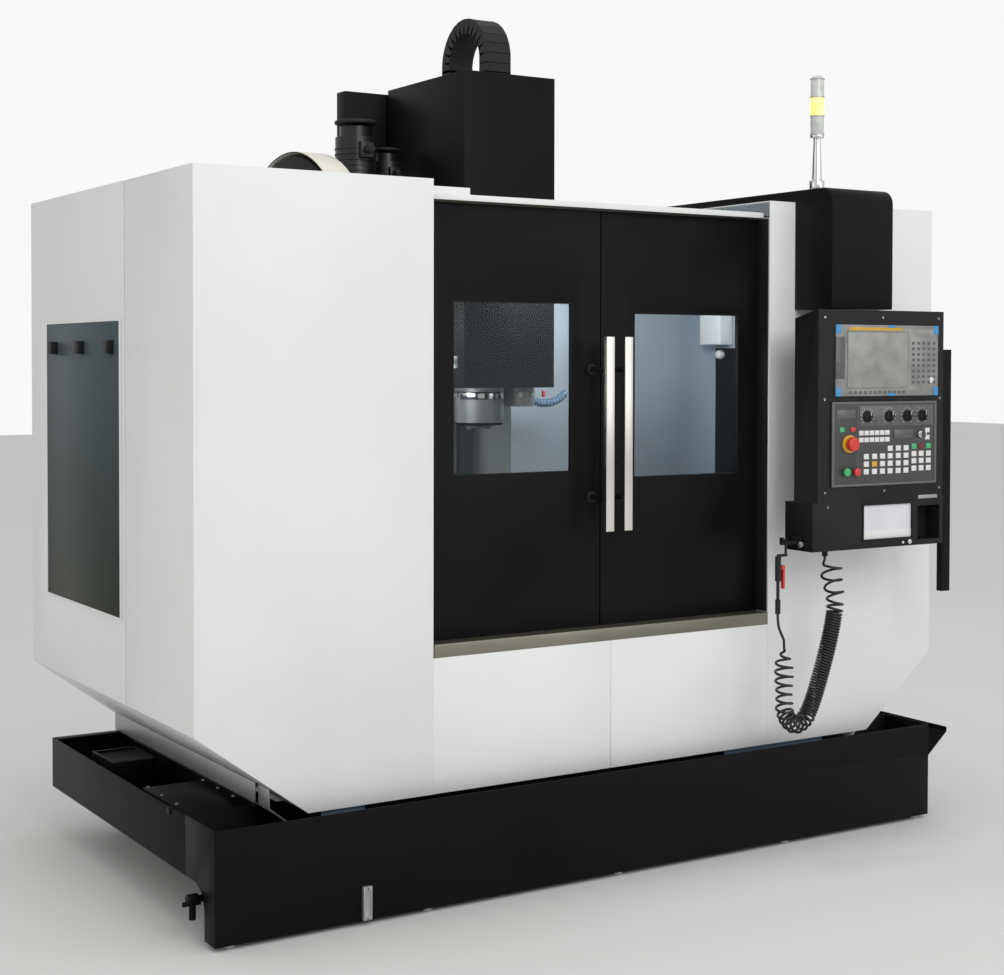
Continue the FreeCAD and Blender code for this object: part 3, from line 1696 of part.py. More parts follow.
def check_and_export():
    """Stops on any failed object or bad shape, then writes one STEP file for each sub-part."""
    faults = [item.Name for item in doc.Objects if "Invalid" in item.State or "Error" in item.State]
    for item in sub_parts:
        if item.Shape.isNull() or not item.Shape.isValid() or not item.Shape.Solids:
            faults.append(item.Label)
    if faults:
        raise RuntimeError(f"failed objects: {faults}")
    os.makedirs("parts", exist_ok=True)
    whole = FreeCAD.BoundBox()
    for item in sub_parts:
        item.Shape.exportStep(f"parts/{item.Label}.step")
        whole.add(item.Shape.BoundBox)
    print(len(sub_parts), "sub-parts", whole)


make_all()
doc.recompute()
check_and_export()
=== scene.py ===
"""Looks of a vertical machining center: sheet enclosure, head, tool changer, console, tank and air hose."""

from __future__ import annotations

import json
import logging
import math
from dataclasses import dataclass, field
from enum import Enum
from typing import Callable, Iterable, Sequence

import bmesh
import bpy
from mathutils import Matrix, Vector

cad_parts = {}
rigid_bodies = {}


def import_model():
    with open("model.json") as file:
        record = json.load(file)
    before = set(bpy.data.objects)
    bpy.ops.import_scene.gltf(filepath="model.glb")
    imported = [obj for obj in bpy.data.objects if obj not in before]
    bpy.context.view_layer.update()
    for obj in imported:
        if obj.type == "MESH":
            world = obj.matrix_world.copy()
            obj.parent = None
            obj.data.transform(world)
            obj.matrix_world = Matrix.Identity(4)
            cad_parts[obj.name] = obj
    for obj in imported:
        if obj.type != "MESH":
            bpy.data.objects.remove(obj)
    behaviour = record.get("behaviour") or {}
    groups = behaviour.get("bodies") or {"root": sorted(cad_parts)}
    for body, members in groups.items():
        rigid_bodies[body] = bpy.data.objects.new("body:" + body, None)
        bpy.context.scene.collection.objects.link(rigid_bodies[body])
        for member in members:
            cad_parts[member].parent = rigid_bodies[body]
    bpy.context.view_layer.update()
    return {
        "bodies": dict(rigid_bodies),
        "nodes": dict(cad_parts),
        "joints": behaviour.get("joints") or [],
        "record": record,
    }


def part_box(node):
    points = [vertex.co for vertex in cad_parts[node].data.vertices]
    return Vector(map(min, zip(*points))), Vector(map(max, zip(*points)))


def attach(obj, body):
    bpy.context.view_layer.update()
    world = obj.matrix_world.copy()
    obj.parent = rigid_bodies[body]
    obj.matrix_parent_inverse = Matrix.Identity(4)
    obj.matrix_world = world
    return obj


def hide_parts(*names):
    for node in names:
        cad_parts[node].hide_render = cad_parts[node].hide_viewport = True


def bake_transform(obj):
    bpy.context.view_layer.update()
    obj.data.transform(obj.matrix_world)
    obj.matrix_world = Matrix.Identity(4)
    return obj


LOG = logging.getLogger("machining_center")
MM = 0.001
Thing = bpy.types.Object
Socket = bpy.types.NodeSocket
Point = Sequence[float]
Place = tuple[Point, Point]
Chooser = Callable[[Vector, Vector], int]
SIDES = ((-1, "left"), (1, "right"))


# ---------------------------------------------------------------- finishes


class Grain(Enum):
    """How the fine relief of a finish is stretched, as scales along X, Y and Z."""

    EVEN = (1.0, 1.0, 1.0)
    UPRIGHT = (1.0, 1.0, 0.02)
    ACROSS = (0.02, 1.0, 1.0)


@dataclass(frozen=True)
class Finish:
    """A procedural surface: two close colours, a fine relief and an uneven gloss; with painted_light_by_height the
    colours blend by height as painted shade.
    """

    name: str
    color: tuple[float, float, float]
    shade: tuple[float, float, float]
    roughness: float
    spread: float = 0.06
    metallic: float = 0.0
    coat: float = 0.0
    cloud: float = 2.2
    grain_scale: float = 700.0
    relief: float = 0.04
    grain: Grain = Grain.EVEN
    alpha: float = 1.0
    glow: float = 0.0
    specular: float = 0.5
    # painted_light_by_height: the heights in metres over which the colour blends upwards into the lighter second
    # colour, as painted shade by height.
    painted_light_by_height: tuple[float, float] | None = None

    def material(self) -> bpy.types.Material:
        """Builds the material once and returns it on later calls.

        Returns:
            The node material.
        """
        found = bpy.data.materials.get(self.name)
        if found:
            return found
        made = bpy.data.materials.new(self.name)
        made.use_nodes = True
        tree = made.node_tree
        tree.nodes.clear()

        def add(kind: str, **values: object) -> bpy.types.Node:
            """A node with the values of its named inputs."""
            node = tree.nodes.new(kind)
            for key, value in values.items():
                node.inputs[key.replace("_", " ")].default_value = value
            return node

        def wire(source: bpy.types.Node, given: str | int, target: bpy.types.Node, taken: str | int) -> None:
            """Links an output of one node to an input of another."""
            tree.links.new(source.outputs[given], target.inputs[taken])

        output, place = add("ShaderNodeOutputMaterial"), add("ShaderNodeTexCoord")
        shader = add(
            "ShaderNodeBsdfPrincipled",
            Metallic=self.metallic,
            Coat_Weight=self.coat,
            Coat_Roughness=0.12,
            Alpha=self.alpha,
            Specular_IOR_Level=self.specular,
        )
        wire(shader, "BSDF", output, "Surface")
        stretch = add("ShaderNodeMapping", Scale=self.grain.value)
        wire(place, "Object", stretch, "Vector")
        cloud = add("ShaderNodeTexNoise", Scale=self.cloud, Detail=5.0)
        fine = add("ShaderNodeTexNoise", Scale=self.grain_scale, Detail=3.0)
        wire(place, "Object", cloud, "Vector")
        wire(stretch, "Vector", fine, "Vector")
        # With painted_light_by_height the colours blend by height as painted shade, darker below and lighter above;
        # otherwise they blend at random by the cloud noise.
        low, high = self.painted_light_by_height or (0.35, 0.7)
        ramp = add("ShaderNodeMapRange", From_Min=low, From_Max=high)
        if self.painted_light_by_height:
            axes = add("ShaderNodeSeparateXYZ")
            wire(place, "Object", axes, 0)
            wire(axes, "Z", ramp, "Value")
        else:
            wire(cloud, "Fac", ramp, "Value")
        blend = add("ShaderNodeMix")
        blend.data_type = "RGBA"
        blend.inputs[6].default_value = (*self.color, 1.0)
        blend.inputs[7].default_value = (*self.shade, 1.0)
        wire(ramp, "Result", blend, 0)
        wire(blend, 2, shader, "Base Color")
        gloss = add(
            "ShaderNodeMapRange", To_Min=max(0.02, self.roughness - self.spread), To_Max=self.roughness + self.spread
        )
        mixed = add("ShaderNodeMath")
        mixed.operation = "MULTIPLY_ADD"
        mixed.inputs[1].default_value = 0.5
        wire(fine, "Fac", mixed, 0)
        wire(cloud, "Fac", mixed, 2)
        wire(mixed, 0, gloss, "Value")
        wire(gloss, "Result", shader, "Roughness")
        bump = add("ShaderNodeBump", Strength=self.relief, Distance=0.001)
        wire(fine, "Fac", bump, "Height")
        wire(bump, "Normal", shader, "Normal")
        if self.glow:
            wire(blend, 2, shader, "Emission Color")
            shader.inputs["Emission Strength"].default_value = self.glow
        made.diffuse_color = (*self.color, self.alpha)
        return made


WHITE = Finish("white_powder_coat", (0.80, 0.815, 0.81), (0.755, 0.77, 0.765), 0.42, relief=0.05, grain_scale=420)
CREAM = Finish("cream_enamel", (0.72, 0.70, 0.60), (0.66, 0.64, 0.54), 0.35, coat=0.2)
BLACK = Finish("black_satin_paint", (0.004, 0.004, 0.005), (0.006, 0.006, 0.007), 0.42, relief=0.06, specular=0.11)
DOOR_BLACK = Finish("black_door_paint", (0.005, 0.005, 0.006), (0.008, 0.008, 0.009), 0.34, relief=0.02, specular=0.09)
TANK_BLACK = Finish("black_tank_coat", (0.003, 0.0025, 0.0035), (0.005, 0.0045, 0.006), 0.42, relief=0.1, specular=0.10)
CONSOLE_BLACK = Finish("black_console_coat", (0.006, 0.006, 0.0065), (0.009, 0.009, 0.009), 0.45, specular=0.25)
MOTOR_BLACK = Finish("black_motor_enamel", (0.007, 0.008, 0.010), (0.012, 0.012, 0.014), 0.28, specular=0.4)
PLASTIC = Finish("black_moulded_plastic", (0.010, 0.010, 0.011), (0.015, 0.015, 0.016), 0.5, relief=0.1, specular=0.3)
RUBBER = Finish("black_rubber", (0.008, 0.008, 0.008), (0.012, 0.012, 0.012), 0.7, relief=0.15, specular=0.2)
CHAIN = Finish("dark_grey_nylon", (0.018, 0.018, 0.018), (0.026, 0.026, 0.026), 0.55, specular=0.22)
CASTING = Finish("grey_painted_casting", (0.13, 0.145, 0.15), (0.10, 0.11, 0.115), 0.5, relief=0.35, grain_scale=160)
GROUND = Finish(
    "ground_steel", (0.50, 0.50, 0.50), (0.42, 0.42, 0.43), 0.25, metallic=1.0, grain=Grain.ACROSS, relief=0.08
)
PULL_STEEL = Finish(
    "brushed_pull_steel", (0.74, 0.72, 0.68), (0.64, 0.62, 0.58), 0.24, metallic=1.0, grain=Grain.UPRIGHT, relief=0.12
)
LINER = Finish(
    "stainless_liner", (0.44, 0.50, 0.55), (0.36, 0.42, 0.47), 0.5, metallic=0.35, grain=Grain.UPRIGHT, relief=0.08
)
SILL = Finish(
    "stainless_sill", (0.27, 0.26, 0.20), (0.21, 0.205, 0.165), 0.33, metallic=0.8, grain=Grain.ACROSS, relief=0.1
)
ZINC = Finish("zinc_plate", (0.45, 0.46, 0.45), (0.36, 0.37, 0.36), 0.4, metallic=0.75, relief=0.08)
CHROME = Finish("bright_chrome", (0.75, 0.76, 0.77), (0.68, 0.69, 0.70), 0.12, metallic=1.0, relief=0.01)
STRIP = Finish("blue_grey_strip", (0.16, 0.25, 0.36), (0.13, 0.21, 0.30), 0.4)
# Smoked cover tint with painted shade by height: darker and warmer towards the bottom, lighter and bluer towards the
# top.
SMOKED_WITH_PAINTED_SHADE = Finish(
    "smoked_cover_painted_shade", (0.028, 0.032, 0.022), (0.066, 0.090, 0.100), 0.3, relief=0.01, specular=0.05, painted_light_by_height=(0.75, 1.6)
)
PANE = Finish("window_glass", (0.02, 0.03, 0.035), (0.02, 0.03, 0.035), 0.04, spread=0.02, alpha=0.14, relief=0.0)
HOSE = Finish("polyurethane_hose", (0.006, 0.006, 0.007), (0.010, 0.010, 0.011), 0.24, relief=0.03, specular=0.5)
RED = Finish("red_plastic", (0.60, 0.018, 0.015), (0.50, 0.012, 0.012), 0.3, coat=0.2)
GREEN = Finish("green_plastic", (0.02, 0.32, 0.13), (0.016, 0.27, 0.10), 0.3, coat=0.2)
DARK_RED = Finish("dark_red_key", (0.16, 0.012, 0.02), (0.13, 0.01, 0.016), 0.4)
YELLOW = Finish("yellow_plastic", (0.72, 0.38, 0.02), (0.62, 0.32, 0.015), 0.35)
KEY_WHITE = Finish("white_key_caps", (0.74, 0.74, 0.73), (0.68, 0.68, 0.67), 0.4)
FOIL = Finish("grey_panel_foil", (0.045, 0.046, 0.046), (0.055, 0.056, 0.056), 0.45, relief=0.06)
FOIL_EDGE = Finish("light_panel_frame", (0.12, 0.127, 0.122), (0.10, 0.106, 0.102), 0.45)
DISPLAY = Finish("display_grey", (0.25, 0.25, 0.24), (0.17, 0.17, 0.17), 0.25, cloud=14.0, coat=0.4)
DISPLAY_LIGHT = Finish("display_light", (0.31, 0.31, 0.295), (0.20, 0.20, 0.195), 0.25, cloud=16.0, coat=0.4)
DISPLAY_DARK = Finish("display_dark", (0.07, 0.07, 0.075), (0.10, 0.10, 0.10), 0.3, cloud=40.0, coat=0.4)
AMBER_BAR = Finish("display_amber", (0.62, 0.36, 0.02), (0.50, 0.27, 0.015), 0.3, cloud=30.0)
BLUE_PAD = Finish("blue_corner_pad", (0.05, 0.30, 0.62), (0.04, 0.25, 0.55), 0.4)
LENS = Finish("clear_lens", (0.62, 0.64, 0.62), (0.50, 0.52, 0.50), 0.12, coat=0.5, cloud=60.0)
AMBER = Finish("lit_amber_lens", (1.0, 0.52, 0.12), (1.0, 0.72, 0.30), 0.2, cloud=30.0, glow=0.9)
PAPER = Finish("white_card", (0.74, 0.74, 0.77), (0.64, 0.64, 0.68), 0.5, cloud=9.0)
FLOOR = Finish("pale_floor", (0.74, 0.74, 0.735), (0.73, 0.73, 0.725), 0.75, relief=0.0, cloud=0.4)


# ---------------------------------------------------------------- workshop tools


class Shop:
    """Makes pieces, dresses them and rides them on the frame's bodies."""

    def __init__(self, frame: dict) -> None:
        """Keeps the loaded frame and finds the enclosure's front plane.
        """
        self.frame = frame
        self.slots = {row["node"]: row["material_slot"] for row in frame["record"]["subparts"]}
        self.body_of = {node: body for body, nodes in frame["record"]["behaviour"]["bodies"].items() for node in nodes}
        self.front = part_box("left_front_module")[0].y

    def at(self, x: float, y: float, z: float) -> Vector:
        """A point in millimetres right of the middle, behind the front plane and above the floor, in metres."""
        return Vector((x * MM, self.front + y * MM, z * MM))

    def extent(self, node: str) -> tuple[float, float, float, float, float, float]:
        """A node's left, right, front, back, underside and top in the enclosure's millimetres."""
        low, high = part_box(node)
        front, back = (low.y - self.front) * 1000, (high.y - self.front) * 1000
        return low.x * 1000, high.x * 1000, front, back, low.z * 1000, high.z * 1000

    def keep(self, piece: Thing, slot: str, body: str = "machine") -> Thing:
        """Rides a piece on a body.

        Args:
            piece: The finished object.
            slot: Not used.
            body: The body's name.

        Returns:
            The piece.
        """
        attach(piece, body)
        LOG.info("piece %s on %s", piece.name, body)
        return piece

    def mesh_object(self, name: str, mesh: bpy.types.Mesh, finishes: Sequence[Finish]) -> Thing:
        """Links a mesh as an object with its finishes.

        Args:
            name: The piece's name.
            mesh: Its mesh.
            finishes: One for each material index.

        Returns:
            The object.
        """
        for finish in finishes:
            mesh.materials.append(finish.material())
        made = bpy.data.objects.new(name, mesh)
        bpy.context.scene.collection.objects.link(made)
        return made

    def bake(self, piece: Thing) -> Thing:
        """Applies a piece's modifiers and removes them.

        Args:
            piece: An object with modifiers.

        Returns:
            The same object with a plain mesh.
        """
        graph = bpy.context.evaluated_depsgraph_get()
        done = bpy.data.meshes.new_from_object(piece.evaluated_get(graph))
        piece.modifiers.clear()
        piece.data = done
        return piece

    def soften(self, piece: Thing, width: float, segments: int = 2, angle: float = 34.0) -> Thing:
        """Rounds a piece's sharp edges and shades it by angle.

        Args:
            piece: The object.
            width: Radius of the edges, in millimetres.
            segments: Steps across the rounding.
            angle: Edges sharper than this are rounded, in degrees.

        Returns:
            The same object.
        """
        if width:
            bevel = piece.modifiers.new("edges", "BEVEL")
            bevel.width = width * MM
            bevel.segments = segments
            bevel.limit_method = "ANGLE"
            bevel.angle_limit = math.radians(angle)
            bevel.use_clamp_overlap = True
            self.bake(piece)
        for polygon in piece.data.polygons:
            polygon.use_smooth = True
        piece.data.set_sharp_from_angle(angle=math.radians(angle))
        return piece

    def dress(
        self,
        node: str,
        finishes: Sequence[Finish],
        width: float = 1.0,
        choose: Chooser | None = None,
        segments: int = 2,
    ) -> Thing:
        """Replaces a CAD node by a copy with rounded edges and several finishes.

        Args:
            node: The CAD node.
            finishes: One for each index that choose may give.
            width: Radius of the edges, in millimetres.
            choose: Gives a face's index from its centre (millimetres) and normal.
            segments: Steps across the rounding.

        Returns:
            The new piece.
        """
        source = self.frame["nodes"][node]
        work = bmesh.new()
        work.from_mesh(source.data)
        bmesh.ops.remove_doubles(work, verts=work.verts, dist=2e-6)
        bmesh.ops.dissolve_limit(
            work, angle_limit=math.radians(0.4), verts=work.verts, edges=work.edges, use_dissolve_boundaries=False
        )
        work.normal_update()
        for face in work.faces:
            centre = face.calc_center_median() * 1000.0
            centre.y -= self.front * 1000.0
            face.material_index = choose(centre, face.normal) if choose else 0
        mesh = bpy.data.meshes.new(node + "_finished")
        work.to_mesh(mesh)
        work.free()
        for name in ("custom_normal", "sharp_edge"):
            if name in mesh.attributes:
                mesh.attributes.remove(mesh.attributes[name])
        piece = self.mesh_object(node + "_finished", mesh, finishes)
        self.soften(piece, width, segments)
        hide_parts(node)
        return self.keep(piece, self.slots[node], self.body_of[node])

    def dress_plain(self, finish: Finish, width: float, *nodes: str) -> None:
        """Dresses nodes in one finish, with one radius of their edges."""
        for node in nodes:
            self.dress(node, [finish], width)

    def paint(self, node: str, finish: Finish) -> None:
        """Gives a CAD node that keeps its own mesh a finish.

        Args:
            node: The CAD node.
            finish: Its finish.
        """
        mesh = self.frame["nodes"][node].data
        mesh.materials.clear()
        mesh.materials.append(finish.material())


class Block:
    """Collects simple closed shapes in one mesh."""

    def __init__(self, shop: Shop) -> None:
        """Starts an empty mesh.

        Args:
            shop: The workshop.
        """
        self.shop = shop
        self.mesh = bmesh.new()

    def _tag(self, start: int, index: int) -> None:
        """Gives the faces made since start a material index."""
        self.mesh.faces.ensure_lookup_table()
        for face in self.mesh.faces[start:]:
            face.material_index = index

    def box(self, low: Point, high: Point, index: int = 0) -> Block:
        """Adds a box between two corners, in the enclosure's millimetres.

        Args:
            low: The lowest corner.
            high: The highest corner.
            index: Its material index.

        Returns:
            The collector.
        """
        start = len(self.mesh.faces)
        a, b = self.shop.at(*low), self.shop.at(*high)
        shape = Matrix.Translation((a + b) / 2) @ Matrix.Diagonal((*(b - a), 1.0))
        bmesh.ops.create_cube(self.mesh, size=1.0, matrix=shape)
        self._tag(start, index)
        return self

    def turned(
        self,
        centre: Point,
        axis: str,
        rings: Sequence[tuple[float, float]],
        sides: int = 40,
        index: int = 0,
        hollow: bool = False,
    ) -> Block:
        """Adds a turned solid.

        Args:
            centre: The start of its axis.
            axis: One of x, y, z, or -x, -y, -z.
            rings: Pairs of distance along the axis and radius, closed at both ends.
            sides: Flats around it.
            index: Its material index.
            hollow: The last pair joins the first, which leaves a hole through the middle.

        Returns:
            The collector.
        """
        start = len(self.mesh.faces)
        origin = self.shop.at(*centre)
        sign = -1.0 if axis.startswith("-") else 1.0
        along = Vector([sign if axis[-1] == name else 0.0 for name in "xyz"])
        across = Vector((0, 0, 1)) if axis[-1] != "z" else Vector((1, 0, 0))
        other = along.cross(across)
        loops = []
        for distance, radius in rings:
            loop = []
            for step in range(sides):
                turn = 2 * math.pi * step / sides
                offset = across * math.cos(turn) + other * math.sin(turn)
                loop.append(self.mesh.verts.new(origin + along * distance * MM + offset * radius * MM))
            loops.append(loop)
        for first, second in zip(loops, loops[1:] + loops[:1] if hollow else loops[1:]):
            for step in range(sides):
                after = (step + 1) % sides
                self.mesh.faces.new((first[step], first[after], second[after], second[step]))
        if not hollow:
            self.mesh.faces.new(list(reversed(loops[0])))
            self.mesh.faces.new(loops[-1])
        self._tag(start, index)
        return self

    def done(
        self,
        name: str,
        finishes: Sequence[Finish],
        slot: str,
        width: float = 0.6,
        body: str = "machine",
        segments: int = 2,
    ) -> Thing:
        """Closes the mesh into a piece.

        Args:
            name: The piece's name.
            finishes: One for each material index.
            slot: The record's material slot.
            width: Radius of its edges, in millimetres.
            body: The body that it rides on.
            segments: Steps across the rounding.

        Returns:
            The piece.
        """
        mesh = bpy.data.meshes.new(name)
        bmesh.ops.recalc_face_normals(self.mesh, faces=self.mesh.faces)
        self.mesh.to_mesh(mesh)
        self.mesh.free()
        piece = self.shop.mesh_object(name, mesh, finishes)
        self.shop.soften(piece, width, segments)
        return self.shop.keep(piece, slot, body)


class Unit(Enum):
    """What a repeating field is made of."""

    SCREW = "screw"
    BAR = "bar"
    DISC = "disc"
    LINK = "link"
    SEGMENT = "segment"


@dataclass
class Repeat:
    """A field of equal small parts made by Geometry Nodes: one on each of a list of points."""

    shop: Shop
    unit: Unit
    wide: float
    deep: float
    high: float
    finish: Finish
    inner: Finish | None = None
    sides: int = 16

    def _shape(self, tree: bpy.types.NodeTree, sizes: bpy.types.Node) -> Socket:
        """Builds one part's geometry inside the tree.

        Args:
            tree: The node tree.
            sizes: The group input.

        Returns:
            The geometry's socket.
        """
        new, link = tree.nodes.new, tree.links.new

        def scaled(socket: Socket, share: float) -> Socket:
            """A size times a share."""
            node = new("ShaderNodeMath")
            node.operation = "MULTIPLY"
            link(socket, node.inputs[0])
            node.inputs[1].default_value = share
            return node.outputs[0]

        def vector(x: Socket | float, y: Socket | float, z: Socket | float) -> Socket:
            """A vector of sockets or numbers."""
            node = new("ShaderNodeCombineXYZ")
            for index, value in enumerate((x, y, z)):
                if isinstance(value, float):
                    node.inputs[index].default_value = value
                else:
                    link(value, node.inputs[index])
            return node.outputs[0]

        def moved(shape: Socket, place: Socket) -> Socket:
            """A shape moved by a vector."""
            node = new("GeometryNodeTransform")
            link(shape, node.inputs["Geometry"])
            link(place, node.inputs["Translation"])
            return node.outputs[0]

        def brick(wide: Socket, deep: Socket, high: Socket) -> Socket:
            """A box of three sizes."""
            node = new("GeometryNodeMeshCube")
            link(vector(wide, deep, high), node.inputs["Size"])
            return node.outputs["Mesh"]

        def tube(radius: Socket, top: Socket, depth: Socket) -> Socket:
            """A cone or cylinder about Z from zero up."""
            node = new("GeometryNodeMeshCone")
            node.inputs["Vertices"].default_value = self.sides
            link(radius, node.inputs["Radius Bottom"])
            link(top, node.inputs["Radius Top"])
            link(depth, node.inputs["Depth"])
            return node.outputs["Mesh"]

        wide, deep, high = (sizes.outputs[name] for name in ("Width", "Depth", "Height"))
        join = new("GeometryNodeJoinGeometry")
        if self.unit is Unit.BAR:
            link(brick(wide, deep, high), join.inputs[0])
        elif self.unit is Unit.LINK:
            for side in (-0.46, 0.46):
                cheek = brick(scaled(wide, 0.08), deep, high)
                link(moved(cheek, vector(scaled(wide, side), 0.0, 0.0)), join.inputs[0])
            for side in (-0.44, 0.44):
                bridge = brick(scaled(wide, 0.9), scaled(deep, 0.97), scaled(high, 0.1))
                link(moved(bridge, vector(0.0, 0.0, scaled(high, side))), join.inputs[0])
        elif self.unit in (Unit.DISC, Unit.SEGMENT):
            taper = 0.5 if self.unit is Unit.DISC else 0.34
            link(tube(scaled(wide, 0.5), scaled(wide, taper), high), join.inputs[0])
        else:
            link(tube(scaled(wide, 0.5), scaled(wide, 0.44), high), join.inputs[0])
            mark = new("GeometryNodeStoreNamedAttribute")
            mark.data_type = "BOOLEAN"
            mark.domain = "FACE"
            mark.inputs["Name"].default_value = "inner_part"
            mark.inputs["Value"].default_value = True
            link(tube(scaled(wide, 0.25), scaled(wide, 0.25), scaled(high, 1.04)), mark.inputs["Geometry"])
            link(mark.outputs[0], join.inputs[0])
        return join.outputs[0]

    def _tree(self, name: str) -> bpy.types.NodeTree:
        """Builds the whole tree: parts on points, realized and given their finishes.

        Args:
            name: The tree's name.

        Returns:
            The node tree.
        """
        tree = bpy.data.node_groups.new(name, "GeometryNodeTree")
        tree.interface.new_socket("Geometry", in_out="INPUT", socket_type="NodeSocketGeometry")
        for label in ("Width", "Depth", "Height"):
            tree.interface.new_socket(label, in_out="INPUT", socket_type="NodeSocketFloat")
        tree.interface.new_socket("Geometry", in_out="OUTPUT", socket_type="NodeSocketGeometry")
        new, link = tree.nodes.new, tree.links.new
        start, end = new("NodeGroupInput"), new("NodeGroupOutput")
        place = new("GeometryNodeInstanceOnPoints")
        turn = new("GeometryNodeInputNamedAttribute")
        turn.data_type = "FLOAT_VECTOR"
        turn.inputs["Name"].default_value = "turn"
        euler = new("FunctionNodeEulerToRotation")
        link(turn.outputs[0], euler.inputs[0])
        link(start.outputs["Geometry"], place.inputs["Points"])
        link(self._shape(tree, start), place.inputs["Instance"])
        link(euler.outputs[0], place.inputs["Rotation"])
        real, paint = new("GeometryNodeRealizeInstances"), new("GeometryNodeSetMaterial")
        paint.inputs["Material"].default_value = self.finish.material()
        link(place.outputs["Instances"], real.inputs["Geometry"])
        link(real.outputs["Geometry"], paint.inputs["Geometry"])
        last = paint
        if self.inner:
            chosen = new("GeometryNodeInputNamedAttribute")
            chosen.data_type = "BOOLEAN"
            chosen.inputs["Name"].default_value = "inner_part"
            last = new("GeometryNodeSetMaterial")
            last.inputs["Material"].default_value = self.inner.material()
            link(paint.outputs["Geometry"], last.inputs["Geometry"])
            link(chosen.outputs[0], last.inputs["Selection"])
        link(last.outputs["Geometry"], end.inputs["Geometry"])
        return tree

    def along(self, name: str, places: Iterable[Place]) -> Thing:
        """Makes the field as an object that rides on nothing yet.

        Args:
            name: The piece's name.
            places: Pairs of a point in millimetres and turns about X, Y and Z in degrees.

        Returns:
            The object with a plain mesh.
        """
        rows = list(places)
        mesh = bpy.data.meshes.new(name)
        mesh.from_pydata([self.shop.at(*row[0]) for row in rows], [], [])
        turns = mesh.attributes.new("turn", "FLOAT_VECTOR", "POINT")
        turns.data.foreach_set("vector", [math.radians(value) for row in rows for value in row[1]])
        piece = bpy.data.objects.new(name, mesh)
        bpy.context.scene.collection.objects.link(piece)
        modifier = piece.modifiers.new("field", "NODES")
        modifier.node_group = self._tree(name + "_field")
        values = {"Width": self.wide * MM, "Depth": self.deep * MM, "Height": self.high * MM}
        for item in modifier.node_group.interface.items_tree:
            if item.item_type == "SOCKET" and item.in_out == "INPUT" and item.name in values:
                modifier[item.identifier] = values[item.name]
        piece.data.update()
        return self.shop.bake(piece)

    def make(self, name: str, places: Iterable[Place], slot: str, body: str = "machine") -> Thing:
        """Makes the field and rides it on a body."""
        return self.shop.keep(self.along(name, places), slot, body)


FRONTWARDS = (90.0, 0.0, 0.0)
BACKWARDS = (-90.0, 0.0, 0.0)
UPWARDS = (0.0, 0.0, 0.0)
DOWNWARDS = (180.0, 0.0, 0.0)
RIGHTWARDS = (0.0, 90.0, 0.0)


def screws(
    shop: Shop,
    name: str,
    size: float,
    high: float,
    spots: Iterable[Point],
    turn: Point,
    body: str = "machine",
    head: Finish = ZINC,
) -> None:
    """Adds a field of screws that all face one way.

    Args:
        shop: The workshop.
        name: The piece's name.
        size: Width of the heads, in millimetres.
        high: Height of the heads, in millimetres.
        spots: Where the heads start, in the enclosure's millimetres.
        turn: Where they face.
        body: The body that they ride on.
        head: Their finish.
    """
    heads = Repeat(shop, Unit.SCREW, size, size, high, head, BLACK)
    heads.make(name, [(spot, turn) for spot in spots], "zinc_steel", body)


# ---------------------------------------------------------------- camera, light and floor


